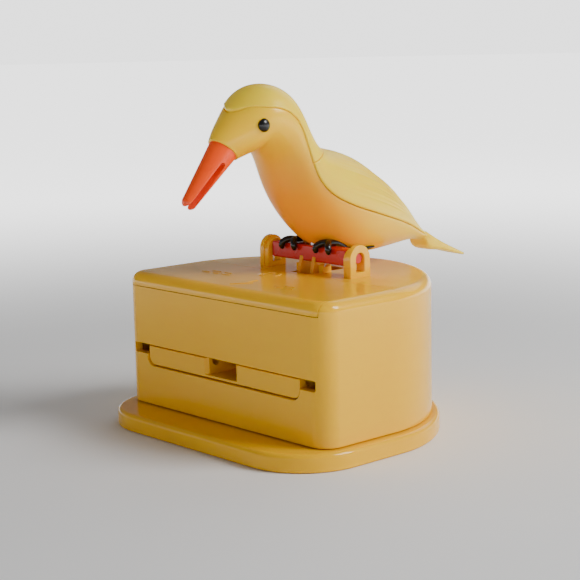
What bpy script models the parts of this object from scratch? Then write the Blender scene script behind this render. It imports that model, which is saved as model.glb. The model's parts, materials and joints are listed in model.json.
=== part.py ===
"""A toothpick dispenser: a bird on a perch dips its beak into the slot of a D-shaped box.

Frame: X to the bird's left, Y to the back, Z up, origin at the middle of the base plate's underside.
All sizes are written in millimetres and turned to metres by MM.
"""
import math

import bmesh
import bpy
from mathutils import Matrix, Vector

MM = 0.001
GAP = 0.3 * MM                    # clearance between neighbouring pieces

# box and base
BOX_WIDTH = 76.0 * MM
BOX_STRAIGHT = 23.6 * MM          # straight length of the side walls
BOX_BACK_DEPTH = 36.9 * MM        # depth of the rounded back
BOX_BACK_POWER = 1.8              # 2 is an ellipse
BOX_CORNER = 5.0 * MM
BOX_TOP = 38.8 * MM               # top of the deck above the table
BOX_TOP_ROUND = 2.6 * MM
WALL = 2.0 * MM
BASE_HEIGHT = 4.4 * MM
BASE_FRONT_LEDGE = 10.2 * MM
BASE_SIDE_LEDGE = 2.6 * MM
BASE_BACK_LEDGE = 1.2 * MM
BASE_CORNER = 17.0 * MM

# front lid
LID_DEPTH = 25.5 * MM
LID_LIP = 3.3 * MM                # height of the lip over the front wall
LID_SIDE_RIM = 2.7 * MM           # width of the box's rim beside the lid
LID_PIN_RADIUS = 0.9 * MM
LID_PIN_BACK = 2.0 * MM           # pin's distance in front of the lid's back edge
LID_PIN_DROP = 3.5 * MM           # pin's depth under the lid's top
LID_LUG = 1.8 * MM                # wall of the lug round the pin

# slot and tray
TOOTHPICK_LENGTH = 65.0 * MM
TOOTHPICK_RADIUS = 1.0 * MM
SLOT_BOTTOM = 14.9 * MM
SLOT_TOP = 20.35 * MM
SLOT_WIDTH = 58.4 * MM
SLOT_ROUND = 2.4 * MM
NOTCH_LOW = 17.9 * MM             # low side of the notches at the slot's ends
NOTCH_REACH = 2.0 * MM            # room past each end of a toothpick
TRAY_RECESS = 0.4 * MM            # tray's front face behind the box's front
TRAY_DEPTH = 13.6 * MM
TRAY_POCKET_WIDTH = 10.6 * MM     # hole that lets the beak reach the toothpick
TRAY_POCKET_DEPTH = 9.6 * MM
TRAY_POCKET_FLOOR = 0.7 * MM
TRAY_ARM_WIDTH = 7.8 * MM
TRAY_ARM_HEIGHT = 2.0 * MM
GROOVE_FROM_WALL = 1.6 * MM       # toothpick's axis behind the front wall at rest

# perch, lever and rocker
PERCH_FROM_LID = 6.9 * MM         # perch axis behind the lid's back edge
PERCH_RISE = 4.7 * MM             # perch axis above the deck
BAR_SIDE = 4.1 * MM
BAR_LENGTH = 27.6 * MM
BRACKET_THICK = 3.0 * MM
BRACKET_OUTER_PLATE = 1.6 * MM
BRACKET_HALF_DEPTH = 3.5 * MM
JOURNAL_RADIUS = 1.15 * MM
BIRD_TILT = math.radians(57.5)
LEVER_REST = math.radians(-15.0)  # lever's lean from straight down, forward is negative
LEVER_LENGTH = 7.0 * MM
LEVER_HALF_WIDTH = 1.8 * MM
CHEEK_INNER = 1.7 * MM
CHEEK_OUTER = 3.0 * MM
DRIVE_PIN_RADIUS = 1.0 * MM
FORK_PLAY = 0.45 * MM
ROCKER_DISTANCE = 15.0 * MM       # rocker axis from the perch axis
ROCKER_RATIO = 0.755              # rocker's turn for each turn of the bird
ROCKER_THICK = 2.6 * MM
ROCKER_END_RISE = 3.75 * MM       # rocker's lower end above the tray's arm
ROCKER_HUB_RADIUS = 3.2 * MM
ROCKER_HUB_LENGTH = 3.0 * MM
ROCKER_END_RADIUS = 1.5 * MM
FORK_WALL = 1.25 * MM
AXLE_RADIUS = 1.2 * MM
AXLE_BRACKET_THICK = 2.0 * MM
SPRING_WIRE = 0.25 * MM           # radius of the return spring's wire
SPRING_TURNS = 2                  # whole turns, and a half more
SPRING_LEG = 5.0 * MM
RIB_THICK = 1.5 * MM
RIB_HALF_DEPTH = 1.5 * MM         # short enough for the toes to pass in front of the ribs

# hopper and rails
HOPPER_WALL = 1.2 * MM
HOPPER_FROM_LID = 4.0 * MM        # hopper's back in front of the lid's back edge
HOPPER_THROAT = 2.9 * MM          # width of the way down to the groove
HOPPER_UNDER_LUG = 0.5 * MM       # hopper's top under the lid's lugs
HOPPER_LIP = 2.2 * MM             # upright lip at the top of the slope
RAIL_WALL = 1.7 * MM
RAIL_LEDGE = 1.5 * MM
RAIL_LENGTH = 31.0 * MM

# screws
SCREW_RADIUS = 1.3 * MM
SCREW_HEAD_RADIUS = 3.0 * MM
SCREW_HEAD_HEIGHT = 1.8 * MM
SCREW_LENGTH = 9.0 * MM
BOSS_RADIUS = 3.6 * MM
BOSS_HEIGHT = 8.0 * MM
BOSS_FROM_SIDE = 0.9 * MM         # front bosses stand this far off the side walls
BOSS_IN_WALL = 0.6 * MM           # and run this far into the front wall
BACK_BOSS_ACROSS = 0.736          # back bosses, as shares of the inner half width
BACK_BOSS_ALONG = 0.512           # and of the rounded back's depth

# bird: back line (y, z), belly line (y, z) and half width at each station from beak to tail,
# in millimetres from the perch axis
BIRD_STATIONS = [
    ((-32.2, 31.1), (-25.8, 25.6), 4.1),
    ((-30.3, 33.5), (-24.0, 26.3), 5.6),
    ((-26.9, 37.2), (-22.6, 26.8), 7.2),
    ((-22.9, 41.3), (-20.5, 27.6), 8.6),
    ((-17.9, 43.4), (-19.3, 27.5), 9.4),
    ((-11.0, 41.1), (-16.3, 25.2), 9.8),
    ((-6.3, 33.4), (-13.6, 20.9), 10.2),
    ((-1.3, 27.5), (-10.4, 13.9), 11.2),
    ((7.6, 25.0), (-4.8, 6.1), 12.2),
    ((18.5, 19.4), (5.0, -0.3), 11.8),
    ((28.0, 12.0), (19.0, -1.3), 9.2),
    ((35.6, 4.1), (31.5, -0.1), 5.6),
    ((39.5, 1.8), (38.2, -0.6), 3.4),
]
# half angle of the covers, in degrees from the back line, at each station
SEAM_ANGLES = [16, 16, 16, 55, 72, 79, 91, 102, 100, 88, 82, 74, 70]
COVER_START = 2.06                # stations where the covers begin and end
COVER_END = 11.6
COVER_GAP = 0.04                  # stations between a cover's end and its neighbour, halved
CREASE_TOP = 7.35                 # station of the crease on the back line
CREASE_SIDE = 6.35                # and where it meets the lower seam
COVER_THICK = 1.2 * MM
COVER_STEP = 0.4 * MM             # how far the covers stand proud
BIRD_WALL = 1.6 * MM
CAVITY_START = 3.0                # stations of the hollow inside the body
CAVITY_END = 10.4
WINDOW_START = 8.0                # stations of the opening under the wing cover
WINDOW_END = 9.4
BIRD_FLOOR = 3.2 * MM             # thicker belly over the perch
RINGS_PER_STATION = 3
BEAK_RADIUS = 3.7 * MM
BEAK_TIP_RADIUS = 1.9 * MM
BEAK_LENGTH = 16.2 * MM
BEAK_PITCH = math.radians(47.5)   # below the horizontal
BEAK_SLOT = 1.5 * MM
BEAK_SOLID = 3.9 * MM             # uncut length at the beak's root
BEAK_PEG_RADIUS = 1.7 * MM
BEAK_PEG_LENGTH = 2.6 * MM
EYE_STATION = 2.7
EYE_RADIUS = 1.65 * MM
EYE_PROUD = 0.35 * MM
TAIL_STATIONS = [
    ((39.9, 1.7), (38.7, -0.8), 3.2),
    ((41.5, 0.7), (40.3, -3.3), 3.6),
    ((46.0, -1.7), (45.4, -4.2), 3.2),
    ((51.6, -4.1), (51.2, -5.6), 2.2),
    ((57.2, -6.3), (57.0, -6.9), 0.8),
]
FOOT_SPREAD = 6.4 * MM            # each foot's middle from the centre plane
TOE_RADIUS = 0.8 * MM
TOE_SPLAY = 2.2 * MM
BIRD_SCREW_RADIUS = 0.8 * MM
BIRD_SCREW_HEAD = 1.4 * MM

# worked out from the sizes above
BASE_DEPTH = BASE_FRONT_LEDGE + BOX_STRAIGHT + BOX_BACK_DEPTH + BASE_BACK_LEDGE
FRONT_Y = BASE_FRONT_LEDGE - BASE_DEPTH / 2
SHELL_BOTTOM = BASE_HEIGHT + GAP
INNER_HALF = BOX_WIDTH / 2 - WALL
LID_HALF = BOX_WIDTH / 2 - LID_SIDE_RIM
LID_BOTTOM = BOX_TOP - LID_LIP
TRAY_BOTTOM = SLOT_BOTTOM + GAP
TRAY_TOP = SLOT_TOP - GAP
TRAY_HALF = SLOT_WIDTH / 2 - GAP
GROOVE_Y = FRONT_Y + WALL + GROOVE_FROM_WALL
PERCH = Vector((0, FRONT_Y + LID_DEPTH + PERCH_FROM_LID, BOX_TOP + PERCH_RISE))
LEAN = LEVER_REST + BIRD_TILT / 2           # lever's lean halfway through its swing
ROCKER = PERCH + ROCKER_DISTANCE * Vector((0, math.sin(LEAN), -math.cos(LEAN)))
ROCKER_SWING = ROCKER_RATIO * BIRD_TILT
ROCKER_ARM = ROCKER.z - (TRAY_BOTTOM + TRAY_ARM_HEIGHT + ROCKER_END_RISE)
LID_LUG_BOTTOM = BOX_TOP - LID_PIN_DROP - (LID_PIN_RADIUS + GAP + LID_LUG)
HOPPER_TOP = LID_LUG_BOTTOM - HOPPER_UNDER_LUG
FRONT_BOSS = (INNER_HALF - BOSS_RADIUS - BOSS_FROM_SIDE, WALL + BOSS_RADIUS - BOSS_IN_WALL)
BACK_BOSS = (BACK_BOSS_ACROSS * INNER_HALF, BOX_STRAIGHT + BACK_BOSS_ALONG * BOX_BACK_DEPTH)
BRACKET_INNER = BAR_LENGTH / 2 + GAP
WINDOW_RADIUS = JOURNAL_RADIUS + GAP
AXLE_BRACKET_INNER = TRAY_ARM_WIDTH / 2 + 2 * GAP
BAR_SWEEP = BAR_SIDE / math.sqrt(2) + GAP


def clear_scene():
    for old in list(bpy.data.objects):
        bpy.data.objects.remove(old, do_unlink=True)


def plastic(name, color, roughness=0.35, metallic=0.0):
    made = bpy.data.materials.new(name)
    made.use_nodes = True
    shader = made.node_tree.nodes["Principled BSDF"]
    shader.inputs["Base Color"].default_value = (*color, 1)
    shader.inputs["Roughness"].default_value = roughness
    shader.inputs["Metallic"].default_value = metallic
    return made


def pivot(name, place):
    """An empty on a joint's axis, which carries the pieces that move about it."""
    empty = bpy.data.objects.new(name, None)
    empty.location = place
    bpy.context.collection.objects.link(empty)
    return empty


def piece(name, bm, look, carrier=None, smooth=30):
    """Makes an object from a bmesh drawn in the part's frame, and hangs it on its carrier."""
    bmesh.ops.remove_doubles(bm, verts=bm.verts, dist=0.00001)
    bmesh.ops.recalc_face_normals(bm, faces=bm.faces)
    mesh = bpy.data.meshes.new(name)
    if carrier is not None:
        bm.transform(Matrix.Translation(-carrier.location))
    bm.to_mesh(mesh)
    bm.free()
    mesh.shade_smooth()
    mesh.set_sharp_from_angle(angle=math.radians(smooth))
    made = bpy.data.objects.new(name, mesh)
    bpy.context.collection.objects.link(made)
    made.data.materials.append(look)
    if carrier is not None:
        made.parent = carrier
    return made


def combine(target, other, operation):
    """Adds a Boolean to a piece. The other shape is only a guide."""
    other.hide_render = True
    other.display_type = "WIRE"
    other.name = f"guide_{target.name}_{len(target.modifiers)}"
    step = target.modifiers.new(operation.lower(), "BOOLEAN")
    step.operation = operation
    step.object = other
    step.solver = "EXACT"


def solid(bm, look, carrier=None):
    return piece("guide", bm, look, carrier)


def prism(outline, low, high, axis):
    """A bmesh of an outline pushed along X (outline in y, z) or along Z (outline in x, y)."""
    bm = bmesh.new()
    place = (lambda p, d: (d, p[0], p[1])) if axis == "X" else (lambda p, d: (p[0], p[1], d))
    ends = [[bm.verts.new(place(p, d)) for p in outline] for d in (low, high)]
    bm.faces.new(ends[0])
    bm.faces.new(ends[1][::-1])
    count = len(outline)
    for i in range(count):
        j = (i + 1) % count
        bm.faces.new((ends[0][i], ends[0][j], ends[1][j], ends[1][i]))
    return bm


def block(low, high):
    """A bmesh of a box between two corners."""
    outline = [(low[1], low[2]), (high[1], low[2]), (high[1], high[2]), (low[1], high[2])]
    return prism(outline, low[0], high[0], "X")


def arc(middle, radius, start, end, steps):
    """Points of a circle's arc, angles in degrees."""
    angles = [math.radians(start + (end - start) * i / steps) for i in range(steps + 1)]
    return [(middle[0] + radius * math.cos(a), middle[1] + radius * math.sin(a)) for a in angles]


def rod(x0, x1, y, z, radius, steps=16):
    """A bmesh of a round bar along X."""
    return prism(arc((y, z), radius, 0, 360 * (1 - 1 / steps), steps - 1), x0, x1, "X")


def post(x, y, z0, z1, radius, steps=16):
    """A bmesh of a round bar along Z."""
    return prism(arc((x, y), radius, 0, 360 * (1 - 1 / steps), steps - 1), z0, z1, "Z")


def d_outline(half, front, back, corner, steps=30):
    """The D-shaped plan: straight front and sides, rounded back."""
    side = FRONT_Y + BOX_STRAIGHT
    points = arc((-half + corner, front + corner), corner, 180, 270, 6)
    points += arc((half - corner, front + corner), corner, 270, 360, 6)
    power = 2 / BOX_BACK_POWER
    for i in range(steps + 1):
        turn = math.pi * i / steps
        across = half * math.copysign(abs(math.cos(turn)) ** power, math.cos(turn))
        points.append((across, side + (back - side) * math.sin(turn) ** power))
    return points


def box_plan(inset):
    back = FRONT_Y + BOX_STRAIGHT + BOX_BACK_DEPTH - inset
    return d_outline(BOX_WIDTH / 2 - inset, FRONT_Y + inset, back, max(BOX_CORNER - inset, MM))


def rounded_stack(plan, low, high, radius, steps=3):
    """A solid with the given plan whose top edge is rounded. plan(inset) gives the outline."""
    bm = bmesh.new()
    levels = [(0, low), (0, high - radius)]
    for i in range(1, steps + 1):
        turn = math.pi / 2 * i / steps
        levels.append((radius * (1 - math.cos(turn)), high - radius + radius * math.sin(turn)))
    rings = [[bm.verts.new((x, y, z)) for x, y in plan(inset)] for inset, z in levels]
    count = len(rings[0])
    for a, b in zip(rings, rings[1:]):
        for i in range(count):
            j = (i + 1) % count
            bm.faces.new((a[i], a[j], b[j], b[i]))
    bm.faces.new(rings[0][::-1])
    bm.faces.new(rings[-1])
    return bm


def screw_places():
    for x, y in (FRONT_BOSS, BACK_BOSS):
        for side in (-1, 1):
            yield side * x, FRONT_Y + y


# ---- base, box and lid ----

def make_base(look, metal):
    back = BASE_DEPTH / 2

    def plan(inset):
        return d_outline(BOX_WIDTH / 2 + BASE_SIDE_LEDGE - inset, -back + inset, back - inset,
                         BASE_CORNER - inset)
    base = piece("base_plate", rounded_stack(plan, 0, BASE_HEIGHT, 1.2 * MM), look)
    recess = SCREW_HEAD_HEIGHT + 2 * GAP
    for number, (x, y) in enumerate(screw_places(), 1):
        hole = post(x, y, -MM, BASE_HEIGHT + MM, SCREW_RADIUS + GAP)
        combine(base, solid(hole, look), "DIFFERENCE")
        head = post(x, y, -MM, recess, SCREW_HEAD_RADIUS + GAP, 20)
        combine(base, solid(head, look), "DIFFERENCE")
        screw = piece(f"base_screw_{number}",
                      post(x, y, recess - GAP - SCREW_HEAD_HEIGHT, recess - GAP,
                           SCREW_HEAD_RADIUS, 20), metal)
        shank = post(x, y, recess - 2 * GAP, recess + SCREW_LENGTH, SCREW_RADIUS)
        combine(screw, solid(shank, metal), "UNION")


def make_box(look):
    shell = piece("box_shell",
                  rounded_stack(box_plan, SHELL_BOTTOM, BOX_TOP, BOX_TOP_ROUND, 4), look)
    cavity = prism(box_plan(WALL), SHELL_BOTTOM - MM, BOX_TOP - WALL, "Z")
    combine(shell, solid(cavity, look), "DIFFERENCE")
    pocket_half = LID_HALF + GAP
    pocket = block((-pocket_half, FRONT_Y - MM, LID_BOTTOM - GAP),
                   (pocket_half, FRONT_Y + LID_DEPTH + GAP, BOX_TOP + MM))
    combine(shell, solid(pocket, look), "DIFFERENCE")
    slot = slot_outline(SLOT_WIDTH / 2, SLOT_BOTTOM, SLOT_TOP, SLOT_ROUND)
    combine(shell, solid(front_cut(slot), look), "DIFFERENCE")
    notch_half = TOOTHPICK_LENGTH / 2 + NOTCH_REACH
    notch = slot_outline(notch_half, NOTCH_LOW, SLOT_TOP, 0.2 * MM)
    combine(shell, solid(front_cut(notch), look), "DIFFERENCE")
    for x, y in screw_places():
        boss = post(x, y, SHELL_BOTTOM, SHELL_BOTTOM + BOSS_HEIGHT, BOSS_RADIUS, 20)
        combine(shell, solid(boss, look), "UNION")
        hole = post(x, y, SHELL_BOTTOM - MM, SHELL_BOTTOM + BOSS_HEIGHT - MM, SCREW_RADIUS + GAP)
        combine(shell, solid(hole, look), "DIFFERENCE")
    for side in (-1, 1):
        inner = CHEEK_OUTER + 1.5 * GAP
        rib = prism(rib_outline(), *sorted((side * inner, side * (inner + RIB_THICK))), "X")
        combine(shell, solid(rib, look), "UNION")
    combine(shell, solid(lever_slot(), look), "DIFFERENCE")
    y, z = lid_pin_place()
    bore = rod(-INNER_HALF - WALL / 2, INNER_HALF + WALL / 2, y, z, LID_PIN_RADIUS + GAP)
    combine(shell, solid(bore, look), "DIFFERENCE")


def slot_outline(half, low, high, corner):
    """The front slot's outline in x, z: round lower corners, square upper ones."""
    points = arc((-half + corner, low + corner), corner, 180, 270, 4)
    points += arc((half - corner, low + corner), corner, 270, 360, 4)
    return points + [(half, high), (-half, high)]


def front_cut(outline):
    """Turns an x, z outline into a cutter through the front wall."""
    bm = bmesh.new()
    sides = [FRONT_Y - MM, FRONT_Y + WALL + MM]
    ends = [[bm.verts.new((x, y, z)) for x, z in outline] for y in sides]
    bm.faces.new(ends[0])
    bm.faces.new(ends[1][::-1])
    count = len(outline)
    for i in range(count):
        j = (i + 1) % count
        bm.faces.new((ends[0][i], ends[0][j], ends[1][j], ends[1][i]))
    return bm


def rib_outline():
    """A rib beside the lever, hollowed round the perch bar's sweep."""
    half = RIB_HALF_DEPTH
    fall = math.degrees(math.asin(half / BAR_SWEEP))
    saddle = arc((PERCH.y, PERCH.z), BAR_SWEEP, -90 - fall, -90 + fall, 8)
    low = BOX_TOP - WALL / 2
    return [(PERCH.y - half, low)] + saddle + [(PERCH.y + half, low)]


def lever_slot():
    """The way through the deck for the lever and the rocker's fork."""
    reach = LEVER_LENGTH + LEVER_HALF_WIDTH + GAP
    front = PERCH.y + reach * math.sin(LEVER_REST) - 2.2 * MM
    back = PERCH.y + reach * math.sin(LEVER_REST + BIRD_TILT) + 2.2 * MM
    half = CHEEK_OUTER + 1.5 * GAP
    return block((-half, front, BOX_TOP - WALL - MM), (half, back, BOX_TOP))


def lid_pin_place():
    return FRONT_Y + LID_DEPTH - LID_PIN_BACK, BOX_TOP - LID_PIN_DROP


def make_lid(look, metal):
    front, back, top = FRONT_Y, FRONT_Y + LID_DEPTH, BOX_TOP
    round_over = BOX_TOP_ROUND
    outline = [(front, LID_BOTTOM)]
    outline += arc((front + round_over, top - round_over), round_over, 180, 90, 5)
    outline += [(back, top), (back, top - WALL), (front + WALL, top - WALL),
                (front + WALL, LID_BOTTOM)]
    lid = piece("front_lid", prism(outline, -LID_HALF, LID_HALF, "X"), look)
    corners = prism(box_plan(0), LID_BOTTOM - MM, BOX_TOP + MM, "Z")
    combine(lid, solid(corners, look), "INTERSECT")
    y, z = lid_pin_place()
    half = LID_PIN_RADIUS + GAP + LID_LUG
    for side, name in ((-1, "right"), (1, "left")):
        inside = prism(box_plan(WALL + GAP), LID_LUG_BOTTOM - MM, BOX_TOP + MM, "Z")
        inner, outer = LID_HALF - 4 * MM, LID_HALF
        lug = block((min(side * inner, side * outer), y - half, z - half),
                    (max(side * inner, side * outer), y + LID_PIN_BACK, BOX_TOP - WALL + GAP))
        lug = solid(lug, look)
        combine(lug, solid(inside, look), "INTERSECT")
        combine(lid, lug, "UNION")
        ends = sorted((side * (inner + GAP), side * (INNER_HALF + WALL / 2 - GAP)))
        piece(f"lid_pin_{name}", rod(*ends, y, z, LID_PIN_RADIUS, 12), metal)
    bore = rod(-LID_HALF - MM, LID_HALF + MM, y, z, LID_PIN_RADIUS + GAP)
    combine(lid, solid(bore, look), "DIFFERENCE")


# ---- inside the box ----

def make_hopper(look):
    half = TOOTHPICK_LENGTH / 2 + NOTCH_REACH
    low = SLOT_TOP + 1.5 * GAP
    throat = FRONT_Y + WALL + HOPPER_THROAT
    back = FRONT_Y + LID_DEPTH - HOPPER_FROM_LID
    slope = (throat + 1.4 * MM, low), (back - HOPPER_WALL, HOPPER_TOP - HOPPER_LIP)
    plate = [(throat, low), slope[0], (back, slope[1][1] - MM), (back, HOPPER_TOP),
             (back - HOPPER_WALL, HOPPER_TOP), slope[1], (throat, low + HOPPER_WALL)]
    hopper = piece("toothpick_hopper", prism(plate, -half, half, "X"), look)
    front = FRONT_Y + WALL + 0.6 * (BOX_CORNER - WALL)   # clear of the box's round corners
    end = [(front, low), (throat + 1.4 * MM, low), (back, slope[1][1] - MM),
           (back, HOPPER_TOP), (front, HOPPER_TOP)]
    for side in (-1, 1):
        wall = prism(end, *sorted((side * (half - GAP), side * (INNER_HALF - 2 * GAP))), "X")
        combine(hopper, solid(wall, look), "UNION")


def make_rails(look):
    wall = TRAY_HALF + GAP
    top = TRAY_BOTTOM - GAP
    front = FRONT_Y + WALL + GAP
    for side, name in ((-1, "right"), (1, "left")):
        def beside(a, b):
            return sorted((side * a, side * b))
        x0, x1 = beside(wall, wall + RAIL_WALL)
        rail = piece(f"tray_rail_{name}",
                     block((x0, front, top - RAIL_LEDGE),
                           (x1, front + RAIL_LENGTH, NOTCH_LOW - GAP)), look)
        x0, x1 = beside(wall - 4 * MM, wall + GAP)
        ledge = block((x0, front, top - RAIL_LEDGE), (x1, front + RAIL_LENGTH, top))
        combine(rail, solid(ledge, look), "UNION")
        x0, x1 = beside(wall - 2 * MM, wall + RAIL_WALL)
        leg = block((x0, front + 8 * MM, SHELL_BOTTOM),
                    (x1, front + RAIL_LENGTH, top - RAIL_LEDGE + GAP))
        combine(rail, solid(leg, look), "UNION")


def make_tray(look, carrier):
    front = FRONT_Y + TRAY_RECESS
    outline = slot_outline(TRAY_HALF, TRAY_BOTTOM, TRAY_TOP, SLOT_ROUND - GAP)
    bm = front_cut(outline)
    for v in bm.verts:
        v.co.y = front if v.co.y < FRONT_Y else front + TRAY_DEPTH
    tray = piece("dispensing_tray", bm, look, carrier)
    end = ROCKER.y + ROCKER_ARM * math.sin(ROCKER_SWING / 2)
    low, high = TRAY_BOTTOM, TRAY_BOTTOM + TRAY_ARM_HEIGHT
    slot = ROCKER_END_RADIUS + GAP + 0.05 * MM
    top = ROCKER.z - ROCKER_ARM * math.cos(ROCKER_SWING / 2) + 0.8 * MM
    floor = high + 1.3 * MM
    yoke = [(front + TRAY_DEPTH - MM, low), (end + slot + 1.6 * MM, low),
            (end + slot + 1.6 * MM, top), (end + slot, top), (end + slot, floor),
            (end - slot, floor), (end - slot, top), (end - slot - 1.6 * MM, top),
            (end - slot - 1.6 * MM, high), (front + TRAY_DEPTH - MM, high)]
    half = TRAY_ARM_WIDTH / 2
    combine(tray, solid(prism(yoke, -half, half, "X"), look, carrier), "UNION")
    half = TRAY_POCKET_WIDTH / 2
    pocket = block((-half, front - MM, TRAY_BOTTOM + TRAY_POCKET_FLOOR),
                   (half, front + TRAY_POCKET_DEPTH, TRAY_TOP + MM))
    combine(tray, solid(pocket, look, carrier), "DIFFERENCE")
    radius = TOOTHPICK_RADIUS + 0.15 * MM
    groove = arc((GROOVE_Y, TRAY_TOP - TOOTHPICK_RADIUS), radius, 180, 360, 8)
    groove += [(GROOVE_Y + radius, TRAY_TOP + MM), (GROOVE_Y - radius, TRAY_TOP + MM)]
    combine(tray, solid(prism(groove, -TRAY_HALF - MM, TRAY_HALF + MM, "X"), look, carrier),
            "DIFFERENCE")


def turned(point, angle):
    """Turns a (y, z) point about the rocker's axis and moves it there."""
    y, z = point
    return (ROCKER.y + y * math.cos(angle) - z * math.sin(angle),
            ROCKER.z + y * math.sin(angle) + z * math.cos(angle))


def make_rocker(look, carrier):
    up = LEAN + ROCKER_SWING / 2            # upper arm's lean to the front at rest
    down = ROCKER_SWING / 2                 # lower arm's lean to the back at rest
    slot = DRIVE_PIN_RADIUS + FORK_PLAY
    side = slot + FORK_WALL
    nearest = ROCKER_DISTANCE - LEVER_LENGTH
    tip = nearest + DRIVE_PIN_RADIUS + 0.6 * MM
    floor = nearest - slot - 0.2 * MM
    fork = [(-side, 0), (side, 0), (side, tip), (slot, tip), (slot, floor), (-slot, floor),
            (-slot, tip), (-side, tip)]
    half = ROCKER_THICK / 2
    rocker = piece("drive_rocker", prism([turned(p, up) for p in fork], -half, half, "X"),
                   look, carrier)
    arm = MM
    lower = [(-arm, 0), (-arm, -ROCKER_ARM)] + [(arm, -ROCKER_ARM), (arm, 0)]
    combine(rocker, solid(prism([turned(p, down) for p in lower], -half, half, "X"),
                          look, carrier), "UNION")
    y, z = turned((0, -ROCKER_ARM), down)
    end_half = TRAY_ARM_WIDTH / 2 - MM
    combine(rocker, solid(rod(-end_half, end_half, y, z, ROCKER_END_RADIUS), look, carrier),
            "UNION")
    hub = ROCKER_HUB_LENGTH / 2
    combine(rocker, solid(rod(-hub, hub, ROCKER.y, ROCKER.z, ROCKER_HUB_RADIUS, 24),
                          look, carrier), "UNION")
    bore = rod(-hub - MM, hub + MM, ROCKER.y, ROCKER.z, AXLE_RADIUS + GAP)
    combine(rocker, solid(bore, look, carrier), "DIFFERENCE")


def make_rocker_support(look, metal):
    inner = AXLE_BRACKET_INNER
    outer = inner + AXLE_BRACKET_THICK
    crown = arc((ROCKER.y, ROCKER.z), ROCKER_HUB_RADIUS, 0, 180, 8)
    foot = 4.5 * MM
    plate = [(ROCKER.y - foot, SHELL_BOTTOM), (ROCKER.y + foot, SHELL_BOTTOM)] + crown
    for side, name in ((-1, "right"), (1, "left")):
        ends = sorted((side * inner, side * outer))
        bracket = piece(f"rocker_bracket_{name}", prism(plate, *ends, "X"), look)
        x0, x1 = sorted((side * (outer - GAP), side * (outer + 6 * MM)))
        flange = block((x0, ROCKER.y - foot, SHELL_BOTTOM),
                       (x1, ROCKER.y + foot, SHELL_BOTTOM + 2 * MM))
        combine(bracket, solid(flange, look), "UNION")
        bore = rod(*sorted((side * (inner - MM), side * (outer + MM))), ROCKER.y, ROCKER.z,
                   AXLE_RADIUS + GAP)
        combine(bracket, solid(bore, look), "DIFFERENCE")
    reach = outer + 0.8 * MM
    piece("rocker_axle", rod(-reach, reach, ROCKER.y, ROCKER.z, AXLE_RADIUS), metal)


def make_spring(metal):
    """Torsion spring round the axle, between the rocker's hub and its left bracket."""
    radius = AXLE_RADIUS + SPRING_WIRE + 2 * GAP
    start = ROCKER_HUB_LENGTH / 2 + GAP + SPRING_WIRE
    end = AXLE_BRACKET_INNER - GAP - SPRING_WIRE
    steps = 16                                     # points in a turn
    total = SPRING_TURNS * steps + steps // 2
    points = [(start, ROCKER.y + radius, ROCKER.z + SPRING_LEG)]
    for i in range(total + 1):
        turn = 2 * math.pi * i / steps
        points.append((start + (end - start) * i / total, ROCKER.y + radius * math.cos(turn),
                       ROCKER.z - radius * math.sin(turn)))
    points.append((end, points[-1][1], ROCKER.z + SPRING_LEG))
    curve = bpy.data.curves.new("return_spring", "CURVE")
    curve.dimensions = "3D"
    curve.bevel_depth = SPRING_WIRE
    curve.bevel_resolution = 1
    curve.use_fill_caps = True
    spline = curve.splines.new("POLY")
    spline.points.add(len(points) - 1)
    for target, point in zip(spline.points, points):
        target.co = (*point, 1)
    spring = bpy.data.objects.new("return_spring", curve)
    bpy.context.collection.objects.link(spring)
    curve.materials.append(metal)


# ---- perch ----

def arch(half, top, foot):
    """An arched plate's outline in y, z, round the perch axis."""
    return [(PERCH.y - half, foot)] + [
        (y, z) for y, z in arc((PERCH.y, top - half), half, 180, 0, 10)] + [
        (PERCH.y + half, foot)]


def make_brackets(look):
    foot = BOX_TOP + GAP
    top = PERCH.z + BRACKET_HALF_DEPTH - 0.1 * MM
    split = BRACKET_INNER + BRACKET_THICK - BRACKET_OUTER_PLATE
    outer = BRACKET_INNER + BRACKET_THICK
    for side, name in ((-1, "right"), (1, "left")):
        plate = prism(arch(BRACKET_HALF_DEPTH, top, foot), *sorted((side * split, side * outer)),
                      "X")
        bracket = piece(f"perch_bracket_{name}", plate, look)
        cheek = prism(arch(BRACKET_HALF_DEPTH - 0.4 * MM, top - 0.8 * MM, foot),
                      *sorted((side * BRACKET_INNER, side * (split + GAP))), "X")
        combine(bracket, solid(cheek, look), "UNION")
        window = arch(WINDOW_RADIUS, PERCH.z + WINDOW_RADIUS, foot + MM)
        cut = prism(window, *sorted((side * (BRACKET_INNER - MM), side * (outer + MM))), "X")
        combine(bracket, solid(cut, look), "DIFFERENCE")


def drive_pin_place():
    return (PERCH.y + LEVER_LENGTH * math.sin(LEVER_REST),
            PERCH.z - LEVER_LENGTH * math.cos(LEVER_REST))


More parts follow.
